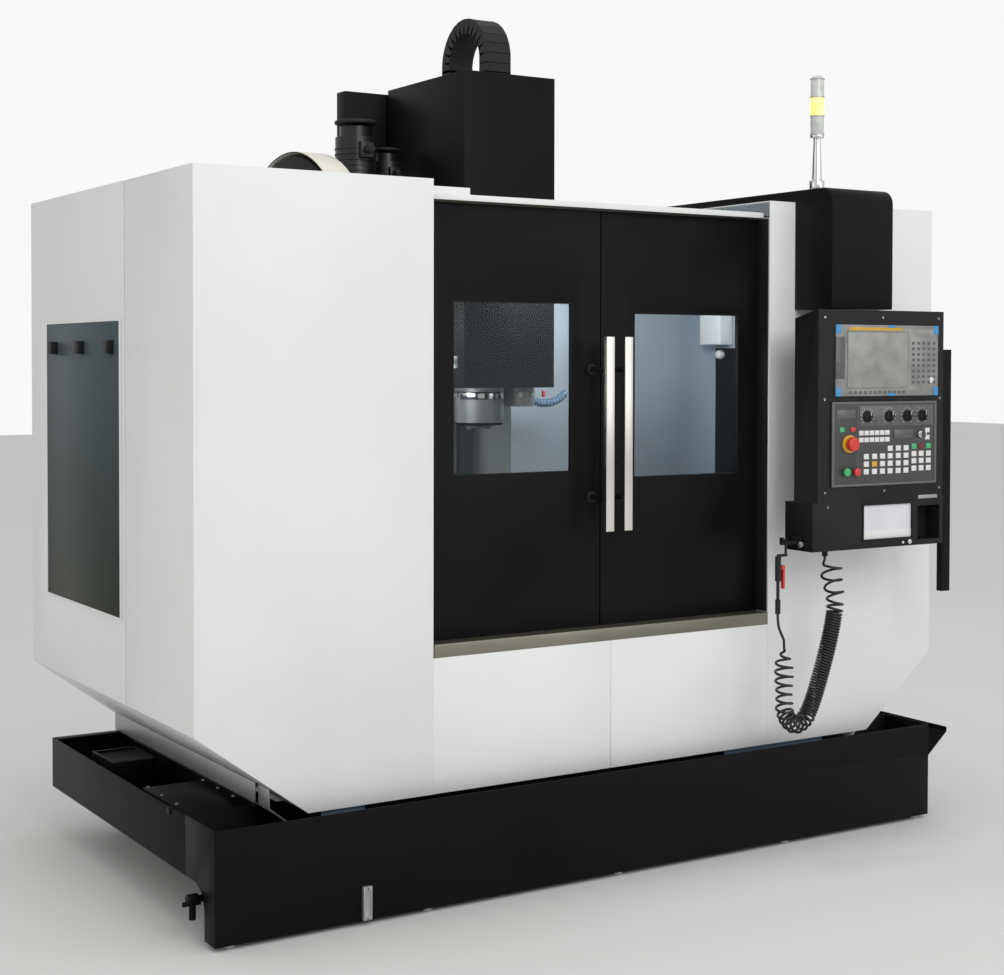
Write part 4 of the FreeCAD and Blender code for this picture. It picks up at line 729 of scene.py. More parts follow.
@dataclass
class Studio:
    """The camera, the lights and the pale floor."""

    shop: Shop
    eye: tuple[float, float, float] = (-2958.8, -4133.8, 1499.1)
    right: tuple[float, float, float] = (0.848377, -0.52939, 0.001714)
    up: tuple[float, float, float] = (0.012026, 0.022509, 0.999674)
    back: tuple[float, float, float] = (-0.529256, -0.84808, 0.025463)
    lens: float = 62.17
    shift_down: float = -0.0812
    sky_light: float = 0.70
    sky_seen: float = 0.94

    def camera(self) -> None:
        """Places the camera at the height of the door windows, ahead of the left corner."""
        data = bpy.data.cameras.new("camera")
        data.sensor_width = 36.0
        data.sensor_fit = "HORIZONTAL"
        data.lens = self.lens
        data.shift_y = self.shift_down
        data.clip_end = 100.0
        camera = bpy.data.objects.new("camera", data)
        turn = Matrix((self.right, self.up, self.back)).transposed().to_4x4()
        camera.matrix_world = Matrix.Translation(self.shop.at(*self.eye)) @ turn
        bpy.context.scene.collection.objects.link(camera)
        bpy.context.scene.camera = camera

    def light(
        self, name: str, place: Point, target: Point, size: float, power: float, color: Point = (1, 1, 1)
    ) -> None:
        """Adds one soft area light.

        Args:
            name: Its name.
            place: Where it hangs, in metres.
            target: Where it points, in metres.
            size: Its side, in metres.
            power: Its power in watts.
            color: Its colour.
        """
        data = bpy.data.lights.new(name, "AREA")
        data.shape = "SQUARE"
        data.size = size
        data.energy = power
        data.color = color
        lamp = bpy.data.objects.new(name, data)
        lamp.visible_camera = False
        lamp.location = place
        lamp.rotation_euler = (Vector(target) - Vector(place)).to_track_quat("-Z", "Y").to_euler()
        bpy.context.scene.collection.objects.link(lamp)

    def build(self) -> None:
        """Makes the camera, the floor, the sky and the lights."""
        self.camera()
        scene = bpy.context.scene
        scene.view_settings.view_transform = "Standard"
        scene.cycles.sample_clamp_indirect = 3.0
        world = bpy.data.worlds.new("studio")
        world.use_nodes = True
        tree = world.node_tree
        sky, seen = tree.nodes["Background"], tree.nodes.new("ShaderNodeBackground")
        path, either = tree.nodes.new("ShaderNodeLightPath"), tree.nodes.new("ShaderNodeMixShader")
        for background, strength in ((sky, self.sky_light), (seen, self.sky_seen)):
            background.inputs["Color"].default_value = (1.0, 1.0, 1.0, 1.0)
            background.inputs["Strength"].default_value = strength
        tree.links.new(path.outputs["Is Camera Ray"], either.inputs[0])
        tree.links.new(sky.outputs[0], either.inputs[1])
        tree.links.new(seen.outputs[0], either.inputs[2])
        tree.links.new(either.outputs[0], tree.nodes["World Output"].inputs["Surface"])
        scene.world = world
        floor = bmesh.new()
        bmesh.ops.create_grid(floor, x_segments=1, y_segments=1, size=30.0)
        mesh = bpy.data.meshes.new("studio_floor")
        floor.to_mesh(mesh)
        floor.free()
        self.shop.mesh_object("studio_floor", mesh, [FLOOR])
        self.light("key_light", (-0.6, -6.8, 4.6), (0.0, -0.9, 1.0), 3.4, 135.0, (1.0, 0.99, 0.98))
        self.light("front_fill", (3.6, -6.5, 2.6), (0.4, -0.9, 1.2), 3.0, 34.0)
        self.light("left_fill", (-6.2, -1.0, 2.8), (-1.2, 0.2, 1.2), 2.6, 16.0, (1.0, 0.93, 0.8))
        self.light("top_light", (0.0, 0.4, 6.0), (0.0, 0.2, 1.0), 4.0, 40.0)
        at, cool = self.shop.at, (0.90, 0.96, 1.0)
        self.light("work_lamp", at(330, 200, 1790), at(430, 900, 1150), 0.35, 8.0, cool)
        self.light("work_lamp_left", at(-480, 560, 1500), at(-60, 1000, 1300), 0.3, 5.0, cool)


# ---------------------------------------------------------------- air hose


@dataclass
class AirHose:
    """The coiled air hose from the console's gland to the blow gun."""

    shop: Shop
    radius: float = 4.0
    plane: float = -190.0
    turns_each: int = 12
    length: float = 8.358
    top: list[Point] = field(default_factory=lambda: [(661, 0, 910), (661, 0, 897)])
    core: list[Point] = field(
        default_factory=lambda: [
            (686, 0, 884),
            (686, 0, 852),
            (716, 0, 752),
            (613, 0, 450),
            (556, 0, 396),
            (506, 0, 430),
            (500, 0, 500),
            (500, 0, 640),
        ]
    )
    tail: list[Point] = field(
        default_factory=lambda: [(500, 0, 654), (500, 0, 668), (488, 2, 690), (475, 0, 716), (475, 0, 748)]
    )

    def spline(self, name: str, points: Sequence[Vector], bevel: float) -> Thing:
        """One open smooth spline through control points.

        Args:
            name: The curve's name.
            points: Its control points in metres.
            bevel: The radius of its tube in metres, or 0 for a bare line.

        Returns:
            The curve object.
        """
        data = bpy.data.curves.new(name, "CURVE")
        data.dimensions = "3D"
        data.resolution_u = 3 if bevel else 12
        line = data.splines.new("NURBS")
        line.points.add(len(points) - 1)
        for point, place in zip(line.points, points):
            point.co = (*place, 1.0)
        line.order_u = 3
        line.use_endpoint_u = True
        data.bevel_depth = bevel
        data.bevel_resolution = 3
        data.use_fill_caps = True
        made = bpy.data.objects.new(name, data)
        bpy.context.scene.collection.objects.link(made)
        return made

    def routed(self, points: Sequence[Point]) -> list[Vector]:
        """Points of the hose's own plane in the shared frame."""
        return [self.shop.at(x, self.plane + y, z) for x, y, z in points]

    def core_line(self) -> list[Vector]:
        """The smooth line at the middle of the spring, read from its own spline.

        Returns:
            Points in metres.
        """
        guide = self.spline("hose_guide", self.routed(self.core), 0.0)
        graph = bpy.context.evaluated_depsgraph_get()
        mesh = bpy.data.meshes.new_from_object(guide.evaluated_get(graph))
        points = [vertex.co.copy() for vertex in mesh.vertices]
        bpy.data.objects.remove(guide)
        return points

    def pitch_and_radius(self, share: float) -> tuple[float, float]:
        """The spring's pitch and coil radius at a share of its length, in millimetres.

        Args:
            share: From 0 at the gland's end to 1 at the gun's end.

        Returns:
            Pitch and radius.
        """
        if share < 0.15:
            return 38.0, 34.0 - 60.0 * share
        if share < 0.19:
            return 20.0, 24.0
        if share < 0.60:
            return 8.6, 23.0
        if share < 0.76:
            return 15.0, 24.5
        if share < 0.95:
            return 27.0, 25.0 - 2.0 * math.sin(40 * share)
        return 27.0, 25.0 * (1.0 - share) / 0.05

    def turns(self) -> list[Vector]:
        """The control points of the spring's turns along its middle line.

        Returns:
            Points in metres.
        """
        line = self.core_line()
        marks = [0.0]
        for before, after in zip(line, line[1:]):
            marks.append(marks[-1] + (after - before).length)
        whole, step, travelled, turn, points = marks[-1], 0, 0.0, math.pi, []
        depth = Vector((0.0, 1.0, 0.0))
        while travelled < whole - 1e-6:
            while step < len(marks) - 2 and marks[step + 1] < travelled:
                step += 1
            run = line[step + 1] - line[step]
            share = (travelled - marks[step]) / run.length
            side = depth.cross(run.normalized())
            pitch, coil = self.pitch_and_radius(travelled / whole)
            offset = side * -math.cos(turn) + depth * math.sin(turn)
            points.append(line[step] + run * share + offset * coil * MM)
            travelled += pitch * MM / self.turns_each
            turn += 2 * math.pi / self.turns_each
        return points

    def build(self) -> None:
        """Makes the hose, rides it on the console and paints the blow gun."""
        points = self.routed(self.top) + self.turns() + self.routed(self.tail)
        hose = self.spline("air_hose", points, self.radius * MM)
        hose.data.materials.append(HOSE.material())
        for node in ("hose_tail_top", "hose_coil", "hose_tail_gun"):
            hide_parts(node)
        self.shop.keep(hose, "hose_black", "console_body")
        self.shop.paint("blow_gun", PLASTIC)
        self.shop.paint("gun_trigger", RED)


# ---------------------------------------------------------------- enclosure


@dataclass
class Enclosure:
    """Sheets, seams, covers, roof, liner and the sill."""

    shop: Shop
    half: float = 1300.0
    depth: float = 1360.0
    roof_top: float = 1999.8
    front_roof_top: float = 1964.8

    def sheets(self) -> None:
        """Finishes the folded sheets with rounded edges."""
        plain = self.shop.dress_plain
        plain(WHITE, 1.6, "left_front_module", "right_front_module", "front_panels")
        plain(WHITE, 1.0, "side_panels", "roof_panels", "rear_panels")
        plain(SILL, 0.8, "door_tracks")
        plain(LINER, 0.8, "inner_liner")

        def skirt(centre: Vector, normal: Vector) -> int:
            """Tells the strips under the front from the drip sheets."""
            return 1 if centre.y < 30 else 0

        self.shop.dress("skirt_sheets", [ZINC, STRIP], 0.5, skirt)

    def covers(self) -> None:
        """Finishes the side covers and their clamps and adds their trim."""

        def cover(centre: Vector, normal: Vector) -> int:
            """Tells the clamps from the covers."""
            return 1 if abs(centre.x) > self.half + 5.5 else 0

        # The side covers carry painted shade by height, darker towards the bottom.
        self.shop.dress("window_covers", [SMOKED_WITH_PAINTED_SHADE, PLASTIC], 1.0, cover)
        _, _, front, back, bottom, top = self.shop.extent("window_covers")
        for side, name in SIDES:
            trim = Block(self.shop)
            inner, outer = sorted((side * self.half, side * (self.half + 6.5)))
            trim.box((inner, front - 5, bottom - 5), (outer, front, top + 5))
            trim.box((inner, back, bottom - 5), (outer, back + 5, top + 5))
            trim.box((inner, front, bottom - 5), (outer, back, bottom))
            trim.box((inner, front, top), (outer, back, top + 5))
            trim.done(f"{name}_cover_trim", [WHITE], "white_paint", 0.8)

    def seals(self) -> None:
        """Adds the black seals between the modules' inner sides and the doors."""
        seal = Block(self.shop)
        for side in (-1, 1):
            x_0, x_1 = sorted((side * 600.0, side * 596.8))
            seal.box((x_0, 6, 722), (x_1, 57.4, 1946))
        seal.done("door_seals", [RUBBER], "black_plastic", 0.6)

    def fasteners(self) -> None:
        """Adds the screws of the roof sheets and the rear walls."""
        spots = [(side * x, y, self.roof_top) for side in (-1, 1) for x in (640, 1270) for y in range(290, 1350, 160)]
        spots += [(x, 170, self.front_roof_top) for x in range(-560, 600, 160)]
        screws(self.shop, "roof_screws", 13, 4, spots, UPWARDS)
        back = self.depth + 2.8
        spots = [(side * x, back, z) for side in (-1, 1) for z in range(640, 2000, 220) for x in (340, 1270)]
        screws(self.shop, "rear_screws", 13, 4, spots, BACKWARDS)

    def lamp_box(self) -> None:
        """Adds the small connection box and knob on the right liner wall, a zinc strip on the back wall and a black
        sheet of painted shade on the right wall.
        """
        case = Block(self.shop).box((884, 590, 1560), (939.8, 704, 1664))
        case.done("liner_box", [WHITE], "white_paint", 3.0, segments=3)
        knob = Block(self.shop).turned((939.8, 646, 1526), "-x", [(0, 16), (14, 16), (22, 13), (24, 6)], 28)
        knob.done("liner_knob", [KEY_WHITE], "white_paint", 0.8)
        strip = Block(self.shop).box((470, 880, 1120), (520, 884.8, 1560))
        strip.done("liner_strip", [ZINC], "zinc_steel", 1.0)
        # A thin black sheet on the right liner wall: painted shade standing in for the dark space beyond the liner at
        # the right of the right window.
        shade_sheet = Block(self.shop).box((937.2, 130, 700), (939.8, 681, 1548))
        shade_sheet.done("liner_painted_shade_sheet", [RUBBER], "black_plastic", 0.6)

    def build(self) -> None:
        """Makes the whole enclosure."""
        self.sheets()
        self.covers()
        self.seals()
        self.fasteners()
        self.lamp_box()


@dataclass
class Doors:
    """The two sliding doors with their panes and pulls."""

    shop: Shop
    lap: float = 11.5

    def build(self) -> None:
        """Makes both doors."""
        bar_back = self.shop.extent("left_pull")[2] + 16.2

        def pull(centre: Vector, normal: Vector) -> int:
            """Tells the posts from the bar."""
            return 1 if centre.y > bar_back else 0

        for side, name in SIDES:
            body = f"{name}_door_body"
            self.shop.dress(f"{name}_door", [DOOR_BLACK], 1.2)
            self.shop.dress(f"{name}_pull", [PULL_STEEL, PLASTIC], 1.6, pull, 3)
            self.shop.paint(f"{name}_pane", PANE)
            left, right, _, _, bottom, top = self.shop.extent(f"{name}_pane")
            left, right, bottom, top = left + self.lap, right - self.lap, bottom + self.lap, top - self.lap
            gasket = Block(self.shop)
            for x_0, x_1, z_0, z_1 in (
                (left - 3, left + 1, bottom - 3, top + 3),
                (right - 1, right + 3, bottom - 3, top + 3),
                (left, right, bottom - 3, bottom + 1),
                (left, right, top - 1, top + 3),
            ):
                gasket.box((x_0, 57.4, z_0), (x_1, 70, z_1))
            gasket.done(f"{name}_pane_gasket", [RUBBER], "black_plastic", 0.6, body)
            feet = Block(self.shop)
            for z in (1102, 1477):
                feet.turned((side * 33, 57.9, z), "-y", [(0, 17), (4, 17), (6, 15)], 32)
            feet.done(f"{name}_pull_rosettes", [PLASTIC], "black_plastic", 0.5, body)


# ---------------------------------------------------------------- base


@dataclass
class Base:
    """The tank, troughs, bed and feet."""

    shop: Shop
    gauge_x: float = -840.0
    gauge_half: float = 16.0

    def build(self) -> None:
        """Makes the base."""
        plain = self.shop.dress_plain
        plain(TANK_BLACK, 1.4, "front_tank")
        plain(TANK_BLACK, 1.2, "side_troughs")
        plain(ZINC, 1.0, "levelling_feet")
        self.shop.paint("bed_casting", CASTING)

        def fitting(centre: Vector, normal: Vector) -> int:
            """Tells the gauge's window from the black fittings."""
            if centre.y < -60 and abs(centre.x - self.gauge_x) < self.gauge_half:
                return 1 if centre.y > -69 and abs(normal.y) > 0.5 else 2
            return 0

        self.shop.dress("tank_fittings", [TANK_BLACK, LENS, ZINC], 0.8, fitting)
        plain(TANK_BLACK, 0.8, "drain_lever")
        gauge = Repeat(self.shop, Unit.BAR, 8, 1.0, 1.4, PLASTIC)
        marks = [((self.gauge_x, -68.4, 32 + 8 * step), UPWARDS) for step in range(8)]
        gauge.make("gauge_marks", marks, "black_plastic")
        spots = [(self.gauge_x, -71.8, z) for z in (20.5, 101.5)]
        screws(self.shop, "gauge_screws", 7, 3, spots, FRONTWARDS)
        seams = Block(self.shop)
        seams.box((-1274, 240, 286), (-1262, 262, 305.5))
        seams.box((-1262, 1232, 296), (-1008, 1261, 305))
        seams.done("trough_stiffeners", [TANK_BLACK], "tank_paint", 1.0)
        spots = [(x, y, 293.8) for x in (-1226, -1060) for y in (312, 420, 528)]
        screws(self.shop, "filter_screws", 10, 4, spots, UPWARDS)


# ---------------------------------------------------------------- axes and head


@dataclass
class Axes:
    """Column, rails, saddle, table, head, spindle and coolant hose."""

    shop: Shop
    spindle_y: float = 750.0
    bolt_ring: float = 90.0
    hose_pitch: float = 13.0
    arm_motor: tuple[float, float] = (-390, 876)
    disc_motor: tuple[float, float] = (-266, 900)

    def castings(self) -> None:
        """Finishes castings, rails, table, spindle, column cap and head cover."""
        plain = self.shop.dress_plain
        plain(CASTING, 2.5, "column", "head_casting", "saddle")
        plain(GROUND, 1.0, "linear_rails", "table")
        plain(GROUND, 0.8, "spindle")
        plain(BLACK, 1.2, "column_cap")
        plain(BLACK, 1.6, "head_cover")

    def nose(self) -> None:
        """Finishes the spindle's housing and adds its bolts."""

        def nose(centre: Vector, normal: Vector) -> int:
            """Tells the flange and the lower ring from the ground barrel."""
            if centre.z > 1431:
                return 1
            return 2 if centre.z < 1312 and normal.z < -0.5 else 0

        self.shop.dress("spindle_housing", [GROUND, CREAM, BLACK], 1.2, nose)
        turns = [math.radians(turn) for turn in range(0, 360, 45)]
        ring, middle = self.bolt_ring, self.spindle_y
        spots = [(ring * math.cos(turn), middle + ring * math.sin(turn), 1432.2) for turn in turns]
        screws(self.shop, "nose_bolts", 14, 9, spots, DOWNWARDS, "head_body")
        collar = Block(self.shop)
        collar.turned((0, middle, 1299.8), "-z", [(0, 79), (5, 79), (9, 74), (9, 50), (0, 50)], 56, 0, True)
        collar.turned((0, middle, 1376), "z", [(0, 80.3), (0, 86), (26, 86), (26, 80.3)], 56, 1, True)
        collar.done("nose_rings", [BLACK, CHROME], "black_sheet", 0.8, "head_body")

    def rail_bolts(self) -> None:
        """Adds the bolts along the rails."""
        sunk = Repeat(self.shop, Unit.SCREW, 13, 13, 1.0, ZINC, BLACK, 12)
        places = [((side * 230, y, 609.6), UPWARDS) for side in (-1, 1) for y in range(300, 1250, 80)]
        places += [((side * 180, 1240.4, z), FRONTWARDS) for side in (-1, 1) for z in range(1140, 2140, 80)]
        sunk.make("rail_bolts", places, "zinc_steel")

    def motors(self) -> None:
        """Finishes the motors and adds their fins, caps and plugs."""
        self.shop.dress_plain(MOTOR_BLACK, 2.0, "drive_motors", "spindle_motor")
        for name, x, y, base, radius, count in (
            ("arm_motor", *self.arm_motor, 1982, 66, 12),
            ("disc_motor", *self.disc_motor, 1980, 50, 9),
        ):
            fins = Repeat(self.shop, Unit.DISC, 2 * radius + 5, 0, 3.0, MOTOR_BLACK, sides=40)
            places = [((x, y, base + 18 * step), UPWARDS) for step in range(count)]
            fins.make(f"{name}_fins", places, "motor_black")
        caps = Block(self.shop)
        caps.turned((*self.arm_motor, 2262), "z", [(0, 67), (3, 68.5), (8, 68.5), (11, 66)], 48, 1)
        caps.turned((*self.disc_motor, 2186), "z", [(0, 51), (2, 52), (6, 52), (8, 50)], 48, 1)
        caps.box((-412, 790, 2150), (-368, 814, 2200))
        caps.turned((-390, 790, 2175), "-y", [(0, 15), (26, 15), (30, 11)], 24, 1)
        caps.box((-284, 836, 2090), (-248, 852, 2130))
        caps.turned((-266, 836, 2110), "-y", [(0, 11), (20, 11), (24, 8)], 24, 1)
        caps.done("motor_caps", [MOTOR_BLACK, PLASTIC], "motor_black", 1.0)
        self.shop.dress_plain(CREAM, 2.0, "cam_box")
        self.shop.dress_plain(GROUND, 1.5, "change_arm")

    def coolant(self) -> None:
        """Replaces the coolant block and hose by a detailed pair."""
        block = Block(self.shop)
        block.box((96, 672, 1352), (168, 750, 1416))
        for x in (112, 132, 152):
            block.turned((x, 672.2, 1392), "-y", [(0, 8), (10, 8), (14, 5)], 20, 1)
        block.turned((166, 700, 1372), "x", [(0, 13), (10, 13), (14, 10)], 28, 1)
        block.box((214, 692, 1382), (222, 700, 1404), 2)
        piece = block.done("coolant_block", [ZINC, CREAM, RED], "black_plastic", 1.0, "head_body")
        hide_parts("coolant_nozzle")
        links, x, z = [], 178.0, 1372.0
        for step in range(11):
            tilt = 112 - 6.5 * step
            links.append(((x, 700, z), (0.0, tilt, 0.0)))
            x += self.hose_pitch * math.sin(math.radians(tilt))
            z += self.hose_pitch * math.cos(math.radians(tilt))
        hose = Repeat(self.shop, Unit.SEGMENT, 27, 0, 17, STRIP, sides=20)
        made = hose.make("coolant_hose", links, "black_plastic", "head_body")
        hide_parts("coolant_nozzle")

    def build(self) -> None:
        """Makes the axes."""
        self.castings()
        self.nose()
        self.rail_bolts()
        self.motors()
        self.coolant()


@dataclass
class Magazine:
    """The tool magazine: ring cover, disc and pot mouths."""

    shop: Shop
    y: float = 722.0
    z: float = 1738.0
    pot_ring: float = 338.0
    pots: int = 24

    def build(self) -> None:
        """Makes the magazine."""

        def ring(centre: Vector, normal: Vector) -> int:
            """Tells the ring's inner side from its cream outside."""
            away = math.hypot(centre.y - self.y, centre.z - self.z)
            outward = normal.y * (centre.y - self.y) + normal.z * (centre.z - self.z)
            return 1 if away < 394 and (outward <= 0 or abs(normal.x) > 0.5) and centre.x < -612 else 0

        self.shop.dress("magazine_cover", [CREAM, BLACK], 1.0, ring)
        self.shop.dress_plain(BLACK, 1.0, "magazine_disc")
        mouths = Repeat(self.shop, Unit.DISC, 48, 0, 3, ZINC, sides=28)
        turns = [math.radians(360 / self.pots * (index + 0.5)) for index in range(self.pots)]
        away = self.pot_ring
        spots = [(-630, self.y + away * math.cos(turn), self.z + away * math.sin(turn)) for turn in turns]
        places = [(spot, RIGHTWARDS) for spot in spots]
        mouths.make("pot_mouths", places, "zinc_steel", "magazine_body")


@dataclass
class EnergyChain:
    """The energy chain with its bend and cables, in one fixed shape."""

    shop: Shop
    x: float = 122.5
    y: float = 977.0
    z: float = 2517.0
    middle: float = 125.0
    wide: float = 95.0
    high: float = 48.0
    pitch: float = 30.0
    cable: float = 8.5

    def build(self) -> None:
        """Makes the links along the two legs and the bend."""
        places: list[Place] = []
        rise = 2425.0
        while rise < self.z - 0.6 * self.pitch:
            places.append(((self.x, self.y - self.middle, rise), FRONTWARDS))
            rise += self.pitch
        count = round(math.pi * self.middle / self.pitch)
        for step in range(count + 1):
            turn = math.pi * step / count
            place = (self.x, self.y - self.middle * math.cos(turn), self.z + self.middle * math.sin(turn))
            places.append((place, (90.0 - math.degrees(turn), 0.0, 0.0)))
        fall = self.z - 0.85 * self.pitch
        while fall > 2415.0:
            places.append(((self.x, self.y + self.middle, fall), BACKWARDS))
            fall -= self.pitch
        links = Repeat(self.shop, Unit.LINK, self.wide, self.pitch * 1.16, self.high, CHAIN)
        chain = links.along("chain_links", places)
        cables = self.cables()
        for piece in (chain, cables):
            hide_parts("cable_chain")
            self.shop.at(self.x, self.y - 100, self.z)
            self.shop.at(self.x, self.y + 100, self.z)
            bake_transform(piece)

    def cables(self) -> Thing:
        """The bundle inside the chain, as one mesh of four round runs.

        Returns:
            The object.
        """
        mesh = bmesh.new()
        path = [(self.y - self.middle, 2416.0)]
        bends = [math.pi * step / 16 for step in range(17)]
        path += [(self.y - self.middle * math.cos(a), self.z + self.middle * math.sin(a)) for a in bends]
        path += [(self.y + self.middle, 2405.0)]
        for offset in (-30, -10, 11, 31):
            loops = []
            for index, (y, z) in enumerate(path):
                before, after = path[max(0, index - 1)], path[min(len(path) - 1, index + 1)]
                run = Vector((0.0, after[0] - before[0], after[1] - before[1])).normalized()
                out = Vector((1.0, 0.0, 0.0)).cross(run)
                loop = []
                for side in range(10):
                    turn = 2 * math.pi * side / 10
                    bulge = (Vector((1, 0, 0)) * math.cos(turn) + out * math.sin(turn)) * self.cable * MM
                    loop.append(mesh.verts.new(self.shop.at(self.x + offset, y, z) + bulge))
                loops.append(loop)
            for first, second in zip(loops, loops[1:]):
                for side in range(10):
                    after = (side + 1) % 10
                    mesh.faces.new((first[side], first[after], second[after], second[side]))
            mesh.faces.new(loops[0])
            mesh.faces.new(loops[-1])
        bmesh.ops.recalc_face_normals(mesh, faces=mesh.faces)
        data = bpy.data.meshes.new("chain_cables")
        mesh.to_mesh(data)
        mesh.free()
        piece = self.shop.mesh_object("chain_cables", data, [RUBBER])
        return self.shop.soften(piece, 0.0)


# ---------------------------------------------------------------- console


@dataclass
class Console:
    """The swivelling console with its screen, keys, knobs and handle, and the arm and tower above it."""

    shop: Shop
    face: float = -250.0
    proud: float = 5.0
    knobs_x: tuple[float, ...] = (769, 860, 937, 1001)
    knob_z: float = 1335.0
    dial: float = 25.0
    stop: tuple[float, float] = (696, 1253)

    def cases(self) -> None:
        """Finishes the arm, the case and the handle."""
        self.shop.dress("console_arm", [BLACK], 3.0, None, 3)
        self.shop.dress_plain(CONSOLE_BLACK, 1.8, "console_box")
        self.shop.dress("console_handle", [BLACK], 5.0, None, 4)
        corners = ((600, 1634), (836, 1636), (1074, 1636), (600, 1388), (1080, 1388))
        corners += ((604, 1108), (846, 1106), (1080, 1108), (616, 1064))
        spots = [(x, self.face + 0.2, z) for x, z in corners]
        screws(self.shop, "console_screws", 8, 2.2, spots, FRONTWARDS, "console_body", CHROME)
        flap = Block(self.shop)
        flap.box((763, self.face + 4, 959), (965, self.face + 7, 1063))
        flap.box((763, self.face + 3, 959), (965, self.face + 4.2, 986), 1)
        flap.done("card_flap", [PAPER, KEY_WHITE], "key_foil", 0.6, "console_body")
        rim = Block(self.shop)
        for x_0, z_0, x_1, z_1 in (
            (757, 953, 763, 1069),
            (965, 953, 971, 1069),
            (763, 953, 965, 959),
            (763, 1063, 965, 1069),
        ):
            rim.box((x_0, self.face - 2, z_0), (x_1, self.face + 0.1, z_1))
        rim.done("card_flap_rim", [CONSOLE_BLACK], "console_black", 0.6, "console_body")
        latch = Block(self.shop)
        for x, z, radius in ((923, 944, 5), (953, 945, 8)):
            latch.turned((x, self.face + 0.1, z), "-y", [(0, radius), (5, radius), (8, radius * 0.7)], 24)
        latch.box((991, self.face - 1.2, 1076), (1073, self.face + 0.1, 1087), 1)
        latch.done("console_latches", [CHROME, ZINC], "zinc_steel", 0.4, "console_body")
        foot = Block(self.shop)
        foot.box((556, -214, 936), (560, -176, 968))
        foot.turned((555.8, -204, 952), "-x", [(0, 9), (8, 9), (10, 7)], 24)
        foot.done("hook_plate", [ZINC], "zinc_steel", 0.6, "console_body")

    def screen(self) -> None:
        """Finishes the screen unit and lays its fields of colour."""
        left, right, _, _, bottom, top = self.shop.extent("screen_unit")
        wide, tall, front = right - left, top - bottom, self.face - self.proud
        self.shop.dress_plain(DISPLAY, 1.0, "screen_unit")

        def spot(share_x: float, share_z: float) -> tuple[float, float]:
            """A point of the unit from shares of its width and height."""
            return left + share_x * wide, bottom + share_z * tall

        fields = Block(self.shop)
        for x_0, z_0, x_1, z_1, depth, index in (
            (0.115, 0.12, 0.70, 0.90, -2.1, 0),
            (0.125, 0.92, 0.64, 0.965, 0.6, 1),
            (0.0, 0.24, 0.085, 0.83, 0.5, 2),
            (0.72, 0.14, 0.985, 0.84, 0.4, 3),
            (0.11, 0.02, 0.70, 0.085, 0.4, 3),
            (0.915, 0.18, 0.955, 0.26, 1.2, 4),
            (0.78, 0.86, 0.97, 0.95, 0.4, 0),
        ):
            a, b = spot(x_0, z_0), spot(x_1, z_1)
            fields.box((a[0], front - max(depth, 0.0), a[1]), (b[0], front + 3.0, b[1]), index)
        looks = [DISPLAY_LIGHT, AMBER_BAR, DISPLAY_DARK, DISPLAY, KEY_WHITE]
        fields.done("screen_fields", looks, "screen_glass", 0.3, "console_body")
        pads = Block(self.shop)
        shares = [(x, z, x + 0.045, z + 0.12) for x in (0.0, 0.955) for z in (0.0, 0.88)]
        shares += [(0.50, z, 0.57, z + 0.035) for z in (0.0, 0.965)]
        for x_0, z_0, x_1, z_1 in shares:
            a, b = spot(x_0, z_0), spot(x_1, z_1)
            pads.box((a[0], front - 1.6, a[1]), (b[0], front + 1, b[1]))
        pads.done("screen_corner_pads", [BLUE_PAD], "screen_glass", 0.5, "console_body")
        keys = Repeat(self.shop, Unit.BAR, 11, 1.6, 8, DISPLAY_DARK)
        spots = [spot(0.75 + 0.052 * column, 0.19 + 0.08 * row) for column in range(5) for row in range(8)]
        spots += [spot(0.14 + 0.047 * column, 0.052) for column in range(12)]
        places = [((x, front - 0.6, z), UPWARDS) for x, z in spots]
        keys.make("screen_keys", places, "screen_glass", "console_body")

    def keys(self) -> None:
        """Finishes the key panel by the place of each key, and adds dial marks and fields."""
        front = self.face - self.proud

        def key(centre: Vector, normal: Vector) -> int:
            """Gives each key, lamp and ring its finish."""
            x, y, z = centre
            if y > front - 0.2:
                return 0
            if abs(x - self.stop[0]) < 28 and abs(z - self.stop[1]) < 28:
                return 1
            if z > 1280 and x < 730:
                return 2 if x < 690 else 3
            if 880 < x < 960 and 1262 < z < 1296:
                return 4
            if z > 1230 and 950 < x < 1040 and z < 1250:
                return 6 if 985 < x < 1010 else 2
            if abs(x - 800) < 11 and abs(z - 1190) < 9:
                return 1
            return 5

        self.shop.dress("key_panel", [FOIL, YELLOW, GREEN, RED, DISPLAY_DARK, KEY_WHITE, DARK_RED], 0.6, key)
        left, right, _, _, bottom, top = self.shop.extent("key_panel")
        frame = Block(self.shop)
        for x_0, z_0, x_1, z_1 in (
            (left, bottom, right, bottom + 7),
            (left, top - 7, right, top),
            (left, bottom + 7, left + 9, top - 7),
            (right - 9, bottom + 7, right, top - 7),
            (left + 104, bottom + 7, left + 107, top - 7),
        ):
            frame.box((x_0, front - 1.2, z_0), (x_1, front + 0.2, z_1))
        frame.box((left + 20, front - 0.6, 1330), (left + 94, front + 0.2, 1356), 1)
        frame.box((left + 112, front - 0.5, 1306), (right - 14, front + 0.2, 1368), 1)
        frame.done("key_panel_frame", [FOIL_EDGE, DISPLAY_DARK], "key_foil", 0.4, "console_body")
        ticks = Repeat(self.shop, Unit.BAR, 1.2, 0.6, 5.0, KEY_WHITE)
        places = []
        for x in self.knobs_x:
            for step in range(-5, 6):
                turn = math.radians(27 * step)
                spot = (x + self.dial * math.sin(turn), front - 0.6, self.knob_z + self.dial * math.cos(turn))
                places.append((spot, (0.0, math.degrees(turn), 0.0)))
        ticks.make("dial_marks", places, "key_foil", "console_body")

